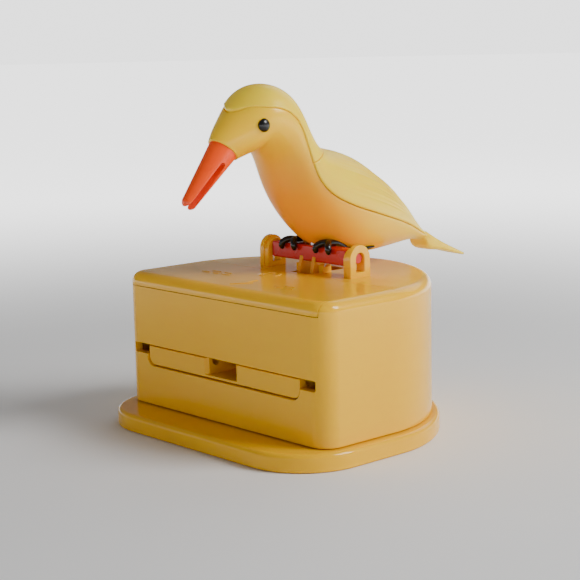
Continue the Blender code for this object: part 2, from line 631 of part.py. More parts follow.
def make_perch(look, metal, carrier):
    half, side = BAR_LENGTH / 2, BAR_SIDE / 2
    bar = piece("perch_bar", block((-half, PERCH.y - side, PERCH.z - side),
                                   (half, PERCH.y + side, PERCH.z + side)), look, carrier)
    reach = BRACKET_INNER + BRACKET_THICK + 0.2 * MM
    combine(bar, solid(rod(-reach, reach, PERCH.y, PERCH.z, JOURNAL_RADIUS), look, carrier),
            "UNION")
    y, z = drive_pin_place()
    lean = math.degrees(LEVER_REST)
    cheek = arc((y, z), LEVER_HALF_WIDTH, 180 + lean, 360 + lean, 8)
    away = Vector((math.cos(LEVER_REST), math.sin(LEVER_REST))) * LEVER_HALF_WIDTH
    cheek += [(PERCH.y + away.x, PERCH.z + away.y), (PERCH.y - away.x, PERCH.z - away.y)]
    for way in (-1, 1):
        plate = prism(cheek, *sorted((way * CHEEK_INNER, way * CHEEK_OUTER)), "X")
        combine(bar, solid(plate, look, carrier), "UNION")
    bore = rod(-CHEEK_OUTER - MM, CHEEK_OUTER + MM, y, z, DRIVE_PIN_RADIUS + GAP)
    combine(bar, solid(bore, look, carrier), "DIFFERENCE")
    piece("drive_pin", rod(-CHEEK_OUTER, CHEEK_OUTER, y, z, DRIVE_PIN_RADIUS), metal, carrier)
    # the screw that holds the bird on the bar
    low, high = PERCH.z - side, PERCH.z + side
    hole = post(0, PERCH.y, low - MM, high + MM, BIRD_SCREW_RADIUS + GAP, 12)
    combine(bar, solid(hole, look, carrier), "DIFFERENCE")
    sink = post(0, PERCH.y, low - MM, low + 1.3 * MM, BIRD_SCREW_HEAD + GAP, 12)
    combine(bar, solid(sink, look, carrier), "DIFFERENCE")
    screw = piece("bird_screw", post(0, PERCH.y, low + 0.1 * MM, low + MM, BIRD_SCREW_HEAD, 12),
                  metal, carrier)
    shank = post(0, PERCH.y, low + 0.9 * MM, high + 2.5 * MM, BIRD_SCREW_RADIUS, 12)
    combine(screw, solid(shank, metal, carrier), "UNION")


# ---- bird ----

def station_row(stations):
    """Stations as vectors (back y, back z, belly y, belly z, half width) in metres."""
    return [Vector((a[0], a[1], b[0], b[1], w)) * MM for a, b, w in stations]


def blend(row, place):
    """Smooth value of a row of vectors or numbers at a place between its entries."""
    i = min(max(int(math.floor(place)), 0), len(row) - 2)
    s = place - i
    p1, p2 = row[i], row[i + 1]
    p0 = row[i - 1] if i > 0 else 2 * p1 - p2
    p3 = row[i + 2] if i + 2 < len(row) else 2 * p2 - p1
    return 0.5 * ((2 * p1) + (p2 - p0) * s + (2 * p0 - 5 * p1 + 4 * p2 - p3) * s ** 2
                  + (3 * p1 - p0 - 3 * p2 + p3) * s ** 3)


def skin_point(row, place, angle, offset=0.0, lift=0.0):
    """A point of a lofted skin. angle is from the back line, offset is outward."""
    a_y, a_z, b_y, b_z, half = blend(row, place)
    middle = Vector(((a_y + b_y) / 2, (a_z + b_z) / 2))
    reach = Vector(((a_y - b_y) / 2, (a_z - b_z) / 2))
    up = reach.normalized()
    middle += up * lift
    tall = max(reach.length + offset, 0.2 * MM)
    wide = max(half + offset, 0.2 * MM)
    flat = middle + up * tall * math.cos(angle)
    return Vector((wide * math.sin(angle), PERCH.y + flat.x, PERCH.z + flat.y))


def seam_angle(place):
    low = min(max(int(place), 0), len(SEAM_ANGLES) - 2)
    share = place - low
    return math.radians(SEAM_ANGLES[low] * (1 - share) + SEAM_ANGLES[low + 1] * share)


def sheet(rows, closed_rows):
    """Faces of a grid of vertices. closed_rows joins each row's end to its start."""
    faces = []
    for a, b in zip(rows, rows[1:]):
        count = len(a)
        for i in range(count if closed_rows else count - 1):
            j = (i + 1) % count
            faces.append((a[i], a[j], b[j], b[i]))
    return faces


def make_body(look, carrier):
    row = station_row(BIRD_STATIONS)
    last = len(row) - 1
    places = [i / RINGS_PER_STATION for i in range(last * RINGS_PER_STATION + 1)]
    rebate = COVER_THICK - COVER_STEP + GAP
    step, wall = 2 * COVER_GAP, 0.02
    places += [COVER_START - step, COVER_START - step - wall]
    places += [COVER_END + step, COVER_END + step + wall]
    places = sorted(places)
    under, below = 7, 9              # points under half a cover, and from there to the belly

    def half_ring(place):
        covered = COVER_START - step <= place <= COVER_END + step
        depth = -rebate if covered else 0.0
        edge = seam_angle(place) + 0.4 * MM / blend(row, place)[4]
        angles = [(edge - 0.02) * i / (under - 1) for i in range(under)]
        ring = [(a, depth) for a in angles]
        ring += [(edge + (math.pi - edge) * i / below, 0.0) for i in range(below + 1)]
        return ring

    bm = bmesh.new()

    def ring_verts(place, inward, lift):
        half = half_ring(place)
        right = [(-a, d) for a, d in half[-2:0:-1]]
        return [bm.verts.new(skin_point(row, place, a, min(d, 0.0) - inward, lift))
                for a, d in half + right]

    outer = [ring_verts(p, 0.0, 0.0) for p in places]
    inside = [p for p in places if CAVITY_START <= p <= CAVITY_END]
    extra = (BIRD_FLOOR - BIRD_WALL) / 2
    inner = [ring_verts(p, BIRD_WALL + extra, extra) for p in inside]
    count = len(outer[0])

    first = places.index(inside[0])

    def in_window(start, end, i, j):
        """Faces left out of both skins under the wing cover."""
        across = max(min(i, count - i), min(j, count - j))
        return WINDOW_START <= start and end <= WINDOW_END and across <= under - 3

    for rings, at, flip in ((outer, places, False), (inner, inside, True)):
        for r in range(len(rings) - 1):
            for i in range(count):
                j = (i + 1) % count
                if in_window(at[r], at[r + 1], i, j):
                    continue
                corners = (rings[r][i], rings[r][j], rings[r + 1][j], rings[r + 1][i])
                bm.faces.new(corners[::-1] if flip else corners)
    for ends in ((outer[0][::-1], outer[-1]), (inner[0], inner[-1][::-1])):
        for end in ends:
            bm.faces.new(end)
    # the rim of the window joins the two skins
    twin = {}
    for r in range(len(inner)):
        for i in range(count):
            twin[outer[first + r][i]] = inner[r][i]
    for edge in [e for e in bm.edges if e.is_boundary and e.verts[0] in twin
                 and e.verts[1] in twin]:
        a, b = edge.verts
        bm.faces.new((a, b, twin[b], twin[a]))
    body = piece("bird_body", bm, look, carrier, 40)
    side = BAR_SIDE / 2 + GAP
    half = BAR_LENGTH / 2 + GAP
    saddle = block((-half, PERCH.y - side, PERCH.z - side), (half, PERCH.y + side, PERCH.z + side))
    combine(body, solid(saddle, look, carrier), "DIFFERENCE")
    for way in (-1, 1):
        # hollow in the belly over each foot
        reach = 2 * TOE_RADIUS + 2.5 * GAP
        x0, x1 = sorted((way * (FOOT_SPREAD - TOE_RADIUS - TOE_SPLAY),
                         way * (FOOT_SPREAD + 2 * TOE_RADIUS + TOE_SPLAY)))
        hollow = block((x0, PERCH.y - side - reach, PERCH.z),
                       (x1, PERCH.y + side + reach, PERCH.z + side + reach))
        combine(body, solid(hollow, look, carrier), "DIFFERENCE")
    hole = post(0, PERCH.y, PERCH.z, PERCH.z + side + 2.6 * MM, BIRD_SCREW_RADIUS + GAP, 12)
    combine(body, solid(hole, look, carrier), "DIFFERENCE")
    for x in (-1, 1):
        socket = ball(eye_place(row, x), EYE_RADIUS + GAP)
        combine(body, solid(socket, look, carrier), "DIFFERENCE")
    root, way = beak_line(row)
    combine(body, solid(peg(root, -way, BEAK_PEG_RADIUS + GAP, BEAK_PEG_LENGTH + 2 * GAP),
                        look, carrier), "DIFFERENCE")


def cover(name, row, look, carrier, start, end, across, along):
    """A curved plate over the bird's back. start and end give its stations at an angle share."""
    bm = bmesh.new()
    skins = []
    for depth in (COVER_STEP, COVER_STEP - COVER_THICK):
        rows = []
        for i in range(along + 1):
            line = []
            for j in range(across + 1):
                share = 2 * j / across - 1
                place = start(abs(share)) + (end(abs(share)) - start(abs(share))) * i / along
                angle = seam_angle(place) * share
                line.append(bm.verts.new(skin_point(row, place, angle, depth)))
            rows.append(line)
        skins.append(rows)
    outer, inner = skins
    for rows, flip in ((outer, False), (inner, True)):
        for face in sheet(rows, False):
            bm.faces.new(face[::-1] if flip else face)
    for e in [e for e in bm.edges if e.is_boundary and e.verts[0] in set(sum(outer, []))]:
        spots = {v: (i, j) for i, line in enumerate(outer) for j, v in enumerate(line)}
        a, b = e.verts
        if a in spots and b in spots:
            c, d = spots[b], spots[a]
            bm.faces.new((a, b, inner[c[0]][c[1]], inner[d[0]][d[1]]))
    piece(name, bm, look, carrier, 40)


def make_covers(look, carrier):
    row = station_row(BIRD_STATIONS)
    def crease(share):
        return CREASE_TOP + (CREASE_SIDE - CREASE_TOP) * share
    cover("crest_cap", row, look, carrier, lambda s: COVER_START + 0.35 * s ** 4,
          lambda s: crease(s) - COVER_GAP, 14, 12)
    cover("wing_cover", row, look, carrier, lambda s: crease(s) + COVER_GAP,
          lambda s: COVER_END, 14, 12)


def ball(middle, radius):
    bm = bmesh.new()
    bmesh.ops.create_uvsphere(bm, u_segments=16, v_segments=10, radius=radius)
    bm.transform(Matrix.Translation(middle))
    return bm


def eye_place(row, side):
    surface = skin_point(row, EYE_STATION, math.radians(88) * side)
    return surface - Vector((side * (EYE_RADIUS - EYE_PROUD - 0.9 * MM), 0, 0))


def beak_line(row):
    """The middle of the muzzle and the direction the beak points."""
    root = (skin_point(row, 0, 0) + skin_point(row, 0, math.pi)) / 2
    return root, Vector((0, -math.cos(BEAK_PITCH), -math.sin(BEAK_PITCH)))


def peg(root, way, radius, length, steps=14):
    """A short round bar from a point along a direction, begun a little behind the point."""
    bm = bmesh.new()
    side = Vector((1, 0, 0))
    up = way.cross(side)
    rings = []
    for along in (-1.2 * MM, length):
        rings.append([bm.verts.new(root + way * along + side * radius * math.cos(a)
                                   + up * radius * math.sin(a))
                      for a in (2 * math.pi * i / steps for i in range(steps))])
    for face in sheet(rings, True):
        bm.faces.new(face)
    bm.faces.new(rings[0])
    bm.faces.new(rings[1])
    return bm


def make_beak(look, carrier):
    row = station_row(BIRD_STATIONS)
    root, way = beak_line(row)
    top, low = skin_point(row, 0, 0), skin_point(row, 0, math.pi)
    face_up = (top - low).normalized()
    face_out = Vector((0, -face_up.z, face_up.y))
    if face_out.dot(way) < 0:
        face_out = -face_out
    cross = Vector((0, way.z, -way.y))
    if cross.z < 0:
        cross = -cross
    steps, rings_count = 20, 8
    bm = bmesh.new()
    rings = []
    for r in range(rings_count + 1):
        share = r / rings_count
        straight = min(share * 3, 1.0)
        up = (face_up * (1 - straight) + cross * straight).normalized()
        if r == 0:
            middle = root + face_out * 1.2 * GAP
        else:
            middle = root + way * BEAK_LENGTH * share
        radius = BEAK_RADIUS + (BEAK_TIP_RADIUS - BEAK_RADIUS) * share
        rings.append([bm.verts.new(middle + up * radius * math.cos(a)
                                   + Vector((radius * math.sin(a), 0, 0)))
                      for a in (2 * math.pi * i / steps for i in range(steps))])
    for share, shrink in ((0.5, 0.87), (0.87, 0.5)):
        middle = root + way * (BEAK_LENGTH + BEAK_TIP_RADIUS * share)
        radius = BEAK_TIP_RADIUS * shrink
        rings.append([bm.verts.new(middle + cross * radius * math.cos(a)
                                   + Vector((radius * math.sin(a), 0, 0)))
                      for a in (2 * math.pi * i / steps for i in range(steps))])
    for face in sheet(rings, True):
        bm.faces.new(face)
    bm.faces.new(rings[0])
    bm.faces.new(rings[-1])
    beak = piece("beak", bm, look, carrier, 40)
    combine(beak, solid(peg(root, -way, BEAK_PEG_RADIUS, BEAK_PEG_LENGTH), look, carrier),
            "UNION")
    bm = bmesh.new()
    bmesh.ops.create_cube(bm, size=1)
    bmesh.ops.scale(bm, vec=(12 * MM, BEAK_LENGTH, BEAK_SLOT), verts=bm.verts)
    middle = root + way * (BEAK_SOLID + BEAK_LENGTH / 2) - cross * 0.3 * MM
    frame = Matrix((Vector((1, 0, 0)), way, cross)).transposed().to_4x4()
    bm.transform(Matrix.Translation(middle) @ frame)
    combine(beak, solid(bm, look, carrier), "DIFFERENCE")


def make_tail(look, carrier):
    row = station_row(TAIL_STATIONS)
    bm = bmesh.new()
    steps = 14
    rings = [[bm.verts.new(skin_point(row, i / 2, 2 * math.pi * k / steps))
              for k in range(steps)] for i in range(2 * len(row) - 1)]
    for face in sheet(rings, True):
        bm.faces.new(face)
    bm.faces.new(rings[0])
    bm.faces.new(rings[-1])
    piece("tail", bm, look, carrier, 40)


def tube(points, radii, steps=8):
    """A bmesh of a round limb through points."""
    bm = bmesh.new()
    rings = []
    for i, point in enumerate(points):
        ahead = points[min(i + 1, len(points) - 1)] - points[max(i - 1, 0)]
        way = ahead.normalized()
        side = way.cross(Vector((0.3, 0.2, 1))).normalized()
        up = side.cross(way)
        rings.append([bm.verts.new(point + (side * math.cos(a) + up * math.sin(a)) * radii[i])
                      for a in (2 * math.pi * k / steps for k in range(steps))])
    for face in sheet(rings, True):
        bm.faces.new(face)
    bm.faces.new(rings[0])
    bm.faces.new(rings[-1])
    return bm


def make_foot(name, side, look, carrier):
    """Two toes over the front of the bar and one along the belly behind it."""
    middle = side * FOOT_SPREAD
    top = PERCH.z + BAR_SIDE / 2 + GAP + TOE_RADIUS
    front = PERCH.y - BAR_SIDE / 2 - GAP - TOE_RADIUS
    back = PERCH.y + BAR_SIDE / 2 + GAP + TOE_RADIUS
    knuckle = Vector((middle, PERCH.y - 0.4 * MM, top + 0.1 * MM))
    rear = [knuckle, Vector((middle, back - 0.7 * MM, top)),
            Vector((middle + side * 0.8 * MM, back + 0.1 * MM, top - 0.9 * MM)),
            Vector((middle + side * 1.6 * MM, back + 0.7 * MM, top - 3.2 * MM))]
    foot = piece(name, tube(rear, [TOE_RADIUS] * 3 + [0.6 * TOE_RADIUS]), look, carrier)
    for way in (-1, 1):
        out = middle + way * TOE_SPLAY
        toe = [knuckle + Vector((-way * 0.1, 0.02, 0.01)) * MM,
               Vector((middle + way * 0.6 * TOE_SPLAY, front + 0.7 * MM, top + 0.1 * MM)),
               Vector((out, front - 0.1 * MM, top - 0.7 * MM)),
               Vector((out + way * 0.2 * MM, front - 0.1 * MM, top - 2.0 * MM))]
        combine(foot, solid(tube(toe, [TOE_RADIUS] * 3 + [0.75 * TOE_RADIUS]), look, carrier),
                "UNION")


def make_eyes(look, carrier):
    row = station_row(BIRD_STATIONS)
    for side, name in ((-1, "right"), (1, "left")):
        piece(f"eye_{name}", ball(eye_place(row, side), EYE_RADIUS), look, carrier)


clear_scene()
yellow = plastic("yellow_plastic", (0.86, 0.62, 0.05), 0.28)
bird_yellow = plastic("bird_yellow_plastic", (0.93, 0.62, 0.03), 0.3)
cover_yellow = plastic("cover_yellow_plastic", (0.94, 0.75, 0.12), 0.3)
orange = plastic("orange_plastic", (0.85, 0.11, 0.01), 0.25)
black = plastic("black_plastic", (0.012, 0.012, 0.012), 0.15)
inner = plastic("inner_plastic", (0.84, 0.5, 0.04), 0.45)
steel = plastic("steel", (0.6, 0.6, 0.62), 0.3, 1.0)

bird_pivot = pivot("bird_pivot", PERCH)
rocker_pivot = pivot("rocker_pivot", ROCKER)
tray_carrier = pivot("tray_carrier", Vector((0, FRONT_Y, TRAY_BOTTOM)))

make_base(yellow, steel)
make_box(yellow)
make_lid(yellow, steel)
make_hopper(inner)
make_rails(inner)
make_tray(yellow, tray_carrier)
make_rocker(inner, rocker_pivot)
make_rocker_support(inner, steel)
make_spring(steel)
make_brackets(yellow)
make_perch(orange, steel, bird_pivot)
make_body(bird_yellow, bird_pivot)
make_covers(cover_yellow, bird_pivot)
make_tail(bird_yellow, bird_pivot)
make_beak(orange, bird_pivot)
make_eyes(black, bird_pivot)
make_foot("foot_left", 1, black, bird_pivot)
make_foot("foot_right", -1, black, bird_pivot)
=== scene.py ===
# Toothpick dispenser: a bird on a perch over a D-shaped box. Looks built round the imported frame.
import json
import math

import bmesh
import bpy
from mathutils import Matrix, Vector


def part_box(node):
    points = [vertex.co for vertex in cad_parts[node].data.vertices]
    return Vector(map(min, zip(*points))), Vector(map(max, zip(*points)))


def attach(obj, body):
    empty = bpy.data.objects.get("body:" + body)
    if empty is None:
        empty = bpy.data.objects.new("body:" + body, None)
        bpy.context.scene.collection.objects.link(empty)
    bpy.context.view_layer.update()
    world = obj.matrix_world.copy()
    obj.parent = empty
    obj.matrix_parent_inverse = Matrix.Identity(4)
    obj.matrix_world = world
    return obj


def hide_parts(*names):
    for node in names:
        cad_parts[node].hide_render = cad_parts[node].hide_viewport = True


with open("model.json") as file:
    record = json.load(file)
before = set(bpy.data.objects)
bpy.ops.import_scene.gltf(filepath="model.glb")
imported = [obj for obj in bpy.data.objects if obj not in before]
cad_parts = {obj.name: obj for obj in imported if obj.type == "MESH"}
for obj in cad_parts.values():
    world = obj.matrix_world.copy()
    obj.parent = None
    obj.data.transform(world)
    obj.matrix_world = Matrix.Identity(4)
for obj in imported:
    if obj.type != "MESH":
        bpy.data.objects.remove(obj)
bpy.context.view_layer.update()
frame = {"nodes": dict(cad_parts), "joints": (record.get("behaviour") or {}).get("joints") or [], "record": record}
mm = 0.001
print("frame loaded:", len(frame["nodes"]), "nodes")


def meshFrom(name, verts, faces):
    mesh = bpy.data.meshes.new(name)
    mesh.from_pydata([tuple(v) for v in verts], [], faces)
    obj = bpy.data.objects.new(name, mesh)
    bpy.context.scene.collection.objects.link(obj)
    return obj


def tidyMesh(obj, distance=0.000004):    # merges doubles and turns every face outwards
    bm = bmesh.new()
    bm.from_mesh(obj.data)
    bmesh.ops.remove_doubles(bm, verts=bm.verts, dist=distance)
    bmesh.ops.dissolve_degenerate(bm, edges=bm.edges, dist=distance)
    bmesh.ops.recalc_face_normals(bm, faces=bm.faces)
    bm.to_mesh(obj.data)
    bm.free()
    return obj


def settle(obj):                         # turns the modifiers' result into a plain mesh
    bpy.context.view_layer.update()
    result = bpy.data.meshes.new_from_object(obj.evaluated_get(bpy.context.evaluated_depsgraph_get()))
    old = obj.data
    obj.modifiers.clear()
    obj.data = result
    bpy.data.meshes.remove(old)
    return obj


def carve(obj, tools, operation="DIFFERENCE"):
    for tool in tools:
        step = obj.modifiers.new("carve", "BOOLEAN")
        step.operation = operation
        step.object = tool
        step.solver = "EXACT"
    settle(obj)
    for tool in tools:
        bpy.data.objects.remove(tool, do_unlink=True)
    return tidyMesh(obj)


def soften(obj, width, segments, angle=32):     # small rounded edges, as a mould leaves
    step = obj.modifiers.new("soften", "BEVEL")
    step.width = width
    step.segments = segments
    step.limit_method = "ANGLE"
    step.angle_limit = math.radians(angle)
    step.use_clamp_overlap = True
    step.miter_outer = "MITER_ARC"
    return settle(obj)


def smoothShade(obj, angle=32, weighted=True):
    obj.data.shade_smooth()
    obj.data.set_sharp_from_angle(angle=math.radians(angle))
    if weighted:
        step = obj.modifiers.new("weigh", "WEIGHTED_NORMAL")
        step.keep_sharp = True
        settle(obj)
    return obj


def place(obj, body, slotName, finish, *nodes):
    obj.data.materials.clear()
    obj.data.materials.append(finish)
    for face in obj.data.polygons:
        face.material_index = 0
    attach(obj, body)
    if nodes:
        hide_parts(*nodes)
    return obj


def gridFaces(rows, columns, wrap):      # quads of a grid of points, row by row
    faces = []
    for r in range(rows - 1):
        for c in range(columns if wrap else columns - 1):
            d = (c + 1) % columns
            faces.append((r * columns + c, r * columns + d, (r + 1) * columns + d, (r + 1) * columns + c))
    return faces


def rings(name, loops):                  # a closed skin through loops of points, capped at both ends
    count = len(loops[0])
    faces = gridFaces(len(loops), count, True)
    faces.append(tuple(range(count))[::-1])
    faces.append(tuple(range((len(loops) - 1) * count, len(loops) * count)))
    return tidyMesh(meshFrom(name, [p for loop in loops for p in loop], faces))


def prismX(name, outline, low, high):    # outline in y, z
    return rings(name, [[(x, y, z) for y, z in outline] for x in (low, high)])


def prismZ(name, outline, low, high):    # outline in x, y
    return rings(name, [[(x, y, z) for x, y in outline] for z in (low, high)])


def slab(name, low, high):
    return prismX(name, [(low[1], low[2]), (high[1], low[2]), (high[1], high[2]), (low[1], high[2])],
                  low[0], high[0])


def arc(middle, radius, start, end, steps):
    turns = [math.radians(start + (end - start) * i / steps) for i in range(steps + 1)]
    return [(middle[0] + radius * math.cos(t), middle[1] + radius * math.sin(t)) for t in turns]


def circle(middle, radius, steps=40):
    return arc(middle, radius, 0, 360 * (1 - 1 / steps), steps - 1)


class Wire:                              # wraps a node socket so that it works in sums
    def __init__(self, tree, socket=None):
        self.tree, self.socket = tree, socket

    def make(self, kind, settings=None, inputs=None, output=0):
        node = self.tree.nodes.new(kind)
        for key, value in (settings or {}).items():
            setattr(node, key, value)
        for key, value in (inputs or {}).items():
            if isinstance(value, Wire):
                self.tree.links.new(value.socket, node.inputs[key])
            else:
                node.inputs[key].default_value = value
        return Wire(self.tree, node.outputs[output])

    def sum(self, operation, other, swapped=False):
        pair = (other, self) if swapped else (self, other)
        return self.make("ShaderNodeMath", {"operation": operation}, {0: pair[0], 1: pair[1]})

    def __add__(self, other): return self.sum("ADD", other)
    def __radd__(self, other): return self.sum("ADD", other, True)
    def __sub__(self, other): return self.sum("SUBTRACT", other)
    def __rsub__(self, other): return self.sum("SUBTRACT", other, True)
    def __mul__(self, other): return self.sum("MULTIPLY", other)
    def __rmul__(self, other): return self.sum("MULTIPLY", other, True)
    def __truediv__(self, other): return self.sum("DIVIDE", other)
    def __rtruediv__(self, other): return self.sum("DIVIDE", other, True)

    def between(self, low, high):        # 0 below low, 1 above high
        return self.make("ShaderNodeMapRange", {"interpolation_type": "SMOOTHSTEP"},
                         {"Value": self, "From Min": low, "From Max": high})

    def mix(self, first, second):        # colours mixed by this factor
        return self.make("ShaderNodeMix", {"data_type": "RGBA"}, {0: self, 6: first, 7: second}, 2)


def rgba(colour):
    return (*colour, 1.0)


def objectSpot(tree):                    # where a point is on the object
    return Wire(tree).make("ShaderNodeTexCoord", output=3)


def startFinish(name):
    finish = bpy.data.materials.new(name)
    finish.use_nodes = True
    return finish, finish.node_tree, finish.node_tree.nodes["Principled BSDF"]


def feed(tree, shader, plug, wire):
    tree.links.new(wire.socket, shader.inputs[plug])


def noiseOn(spot, scale, detail=3.0, rough=0.5):
    return spot.make("ShaderNodeTexNoise", {},
                     {"Vector": spot, "Scale": scale, "Detail": detail, "Roughness": rough})


moulding = {"flow": (60.0, 60.0, 420.0), "cloudShare": 0.7, "toneSpan": (0.35, 0.65), "smudgeScale": 95.0,
            "smudgeSpan": (0.42, 0.72), "speckScale": 5200.0, "speckShare": 0.2, "peelDeep": 0.06 * mm,
            "specular": 0.35, "coatRough": 0.08, "glowRadius": (1.0, 0.4, 0.05), "glowScale": 2.0 * mm}


def mouldedPlastic(name, look):
    # gloss plastic: faint colour clouds, flow marks, handling smudges in the gloss, a fine orange peel and, where
    # a look asks for it, painted shade round one place
    m = moulding
    finish, tree, shader = startFinish(name)
    spot = objectSpot(tree)
    clouds = noiseOn(spot, look["cloudScale"], 4.0, 0.55)
    flow = noiseOn(spot.make("ShaderNodeMapping", {"vector_type": "POINT"},
                             {"Vector": spot, "Scale": m["flow"]}), 1.0, 2.0)
    tone = (clouds * m["cloudShare"] + flow * (1 - m["cloudShare"])).between(*m["toneSpan"])
    colour = tone.mix(rgba(look["deep"]), rgba(look["light"]))
    if "warm" in look:                   # painted shade, partly a warmer plastic tone: a deeper orange round one place, the bird's breast and throat, where shade falls
        away = spot.make("ShaderNodeVectorMath", {"operation": "DISTANCE"}, {0: spot, 1: look["warmAt"]}, 1)
        colour = away.between(*look["warmReach"]).mix(rgba(look["warm"]), colour)
    feed(tree, shader, "Base Color", colour)
    smudge = noiseOn(spot, m["smudgeScale"], 5.0, 0.6).between(*m["smudgeSpan"])
    feed(tree, shader, "Roughness", smudge * look["smudge"] + look["roughness"])
    peel = noiseOn(spot, look["peelScale"], 2.0)
    specks = noiseOn(spot, m["speckScale"], 1.0)
    height = peel * (1 - m["speckShare"]) + specks * m["speckShare"]
    bump = spot.make("ShaderNodeBump", {},
                     {"Strength": look["peel"], "Distance": m["peelDeep"], "Height": height})
    feed(tree, shader, "Normal", bump)
    shader.inputs["Specular IOR Level"].default_value = m["specular"]
    shader.inputs["Coat Weight"].default_value = look["coat"]
    shader.inputs["Coat Roughness"].default_value = m["coatRough"]
    shader.inputs["Subsurface Weight"].default_value = look.get("glow", 0.0)
    shader.inputs["Subsurface Radius"].default_value = m["glowRadius"]
    shader.inputs["Subsurface Scale"].default_value = look.get("glowScale", m["glowScale"])
    return finish


plating = {"bright": (0.62, 0.63, 0.66), "dull": (0.44, 0.42, 0.40), "grain": (4000.0, 300.0, 300.0),
           "tarnishScale": 500.0, "tarnishSpan": (0.45, 0.7), "roughness": 0.22, "grainDeep": 0.03 * mm}


def platedSteel(name):                   # brushed zinc with duller patches
    m = plating
    finish, tree, shader = startFinish(name)
    spot = objectSpot(tree)
    brushed = noiseOn(spot.make("ShaderNodeMapping", {}, {"Vector": spot, "Scale": m["grain"]}), 1.0, 3.0)
    tarnish = noiseOn(spot, m["tarnishScale"], 4.0).between(*m["tarnishSpan"])
    feed(tree, shader, "Base Color", tarnish.mix(rgba(m["bright"]), rgba(m["dull"])))
    feed(tree, shader, "Roughness", brushed * 0.2 + m["roughness"] + tarnish * 0.12)
    bump = spot.make("ShaderNodeBump", {}, {"Strength": 0.2, "Distance": m["grainDeep"], "Height": brushed})
    feed(tree, shader, "Normal", bump)
    shader.inputs["Metallic"].default_value = 1.0
    return finish


boxLook = {"deep": (0.965, 0.495, 0.0), "light": (0.98, 0.525, 0.0), "cloudScale": 26.0, "roughness": 0.15,
           "smudge": 0.07, "peelScale": 900.0, "peel": 0.04, "coat": 0.10, "glow": 0.10, "glowScale": 0.0015}
# the bird's last three entries paint shade, partly a warmer plastic tone: a deeper orange round the breast and
# throat, where shade falls
birdLook = {"deep": (0.985, 0.555, 0.0), "light": (1.0, 0.585, 0.0), "cloudScale": 40.0, "roughness": 0.30,
            "smudge": 0.08, "peelScale": 1100.0, "peel": 0.08, "coat": 0.10, "glow": 0.30, "glowScale": 0.003,
            "warm": (0.97, 0.33, 0.0), "warmAt": (0.0, -0.007, 0.050), "warmReach": (0.006, 0.032)}
coverLook = {"deep": (0.985, 0.63, 0.008), "light": (1.0, 0.67, 0.014), "cloudScale": 40.0,
             "roughness": 0.34, "smudge": 0.08, "peelScale": 1100.0, "peel": 0.08, "coat": 0.05, "glow": 0.20,
             "glowScale": 0.003}
barLook = {"deep": (0.52, 0.008, 0.0), "light": (0.58, 0.012, 0.0), "cloudScale": 60.0, "roughness": 0.24,
           "smudge": 0.10, "peelScale": 1200.0, "peel": 0.06, "coat": 0.05}
orangeLook = {"deep": (0.96, 0.070, 0.0), "light": (1.0, 0.085, 0.0), "cloudScale": 60.0, "roughness": 0.28,
              "smudge": 0.10, "peelScale": 1200.0, "peel": 0.08, "coat": 0.10, "glow": 0.15,
              "glowScale": 0.0015}
blackLook = {"deep": (0.003, 0.003, 0.003), "light": (0.006, 0.006, 0.006), "cloudScale": 300.0,
             "roughness": 0.20, "smudge": 0.08, "peelScale": 1500.0, "peel": 0.08, "coat": 0.2}
innerLook = {"deep": (0.80, 0.30, 0.0), "light": (0.84, 0.34, 0.0), "cloudScale": 50.0, "roughness": 0.42,
             "smudge": 0.12, "peelScale": 1300.0, "peel": 0.12, "coat": 0.05}
boxYellow = mouldedPlastic("boxYellow", boxLook)
birdYellow = mouldedPlastic("birdYellow", birdLook)
coverYellow = mouldedPlastic("coverYellow", coverLook)
beakOrange = mouldedPlastic("beakOrange", orangeLook)
barRed = mouldedPlastic("barRed", barLook)
eyeBlack = mouldedPlastic("eyeBlack", blackLook)
innerYellow = mouldedPlastic("innerYellow", innerLook)
zincSteel = platedSteel("zincSteel")
finishes = {"box_plastic": boxYellow, "bird_plastic": birdYellow, "cover_plastic": coverYellow,
            "orange_plastic": beakOrange, "black_plastic": eyeBlack, "inner_plastic": innerYellow,
            "steel": zincSteel}
for part in frame["record"]["subparts"]:
    node = frame["nodes"].get(part.get("node"))
    if node is not None:
        for slotted in node.material_slots:
            slotted.material = finishes[part["material_slot"]]
print("finishes made")


boxSizes = {"power": 1.8, "corner": 5.0 * mm, "topRound": 2.6 * mm, "wall": 2.0 * mm, "straight": 23.6 * mm,
            "seam": 0.17 * mm, "lip": 3.3 * mm, "edge": 0.16 * mm}
shellLow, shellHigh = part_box("box_shell")
lidLow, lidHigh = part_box("front_lid")
bracketLow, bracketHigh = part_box("perch_bracket_left")
perchY = (bracketLow.y + bracketHigh.y) / 2
frontY = lidLow.y
boxTop = lidHigh.z
halfWidth = shellHigh.x
tilt = [j for j in frame["joints"] if j["name"] == "bird_tilt"][0]
perchZ = tilt["pos_m"][2]


def screwSpots():                        # centre of each base screw, seen from above
    boxes = [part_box(f"base_screw_{n}") for n in (1, 2, 3, 4)]
    return [((low.x + high.x) / 2, (low.y + high.y) / 2) for low, high in boxes]


def dOutline(half, front, back, corner, steps=72):
    # straight front with round corners, straight sides, and a full curve round the back
    side = frontY + boxSizes["straight"]
    points = arc((-half + corner, front + corner), corner, 180, 270, 14)
    points += arc((half - corner, front + corner), corner, 270, 360, 14)
    power = 2 / boxSizes["power"]
    for i in range(steps + 1):
        turn = math.pi * i / steps
        across = half * math.copysign(abs(math.cos(turn)) ** power, math.cos(turn))
        points.append((across, side + (back - side) * math.sin(turn) ** power))
    return points


def boxPlan(inset):
    corner = max(boxSizes["corner"] - inset, mm)
    return dOutline(halfWidth - inset, frontY + inset, shellHigh.y - inset, corner)


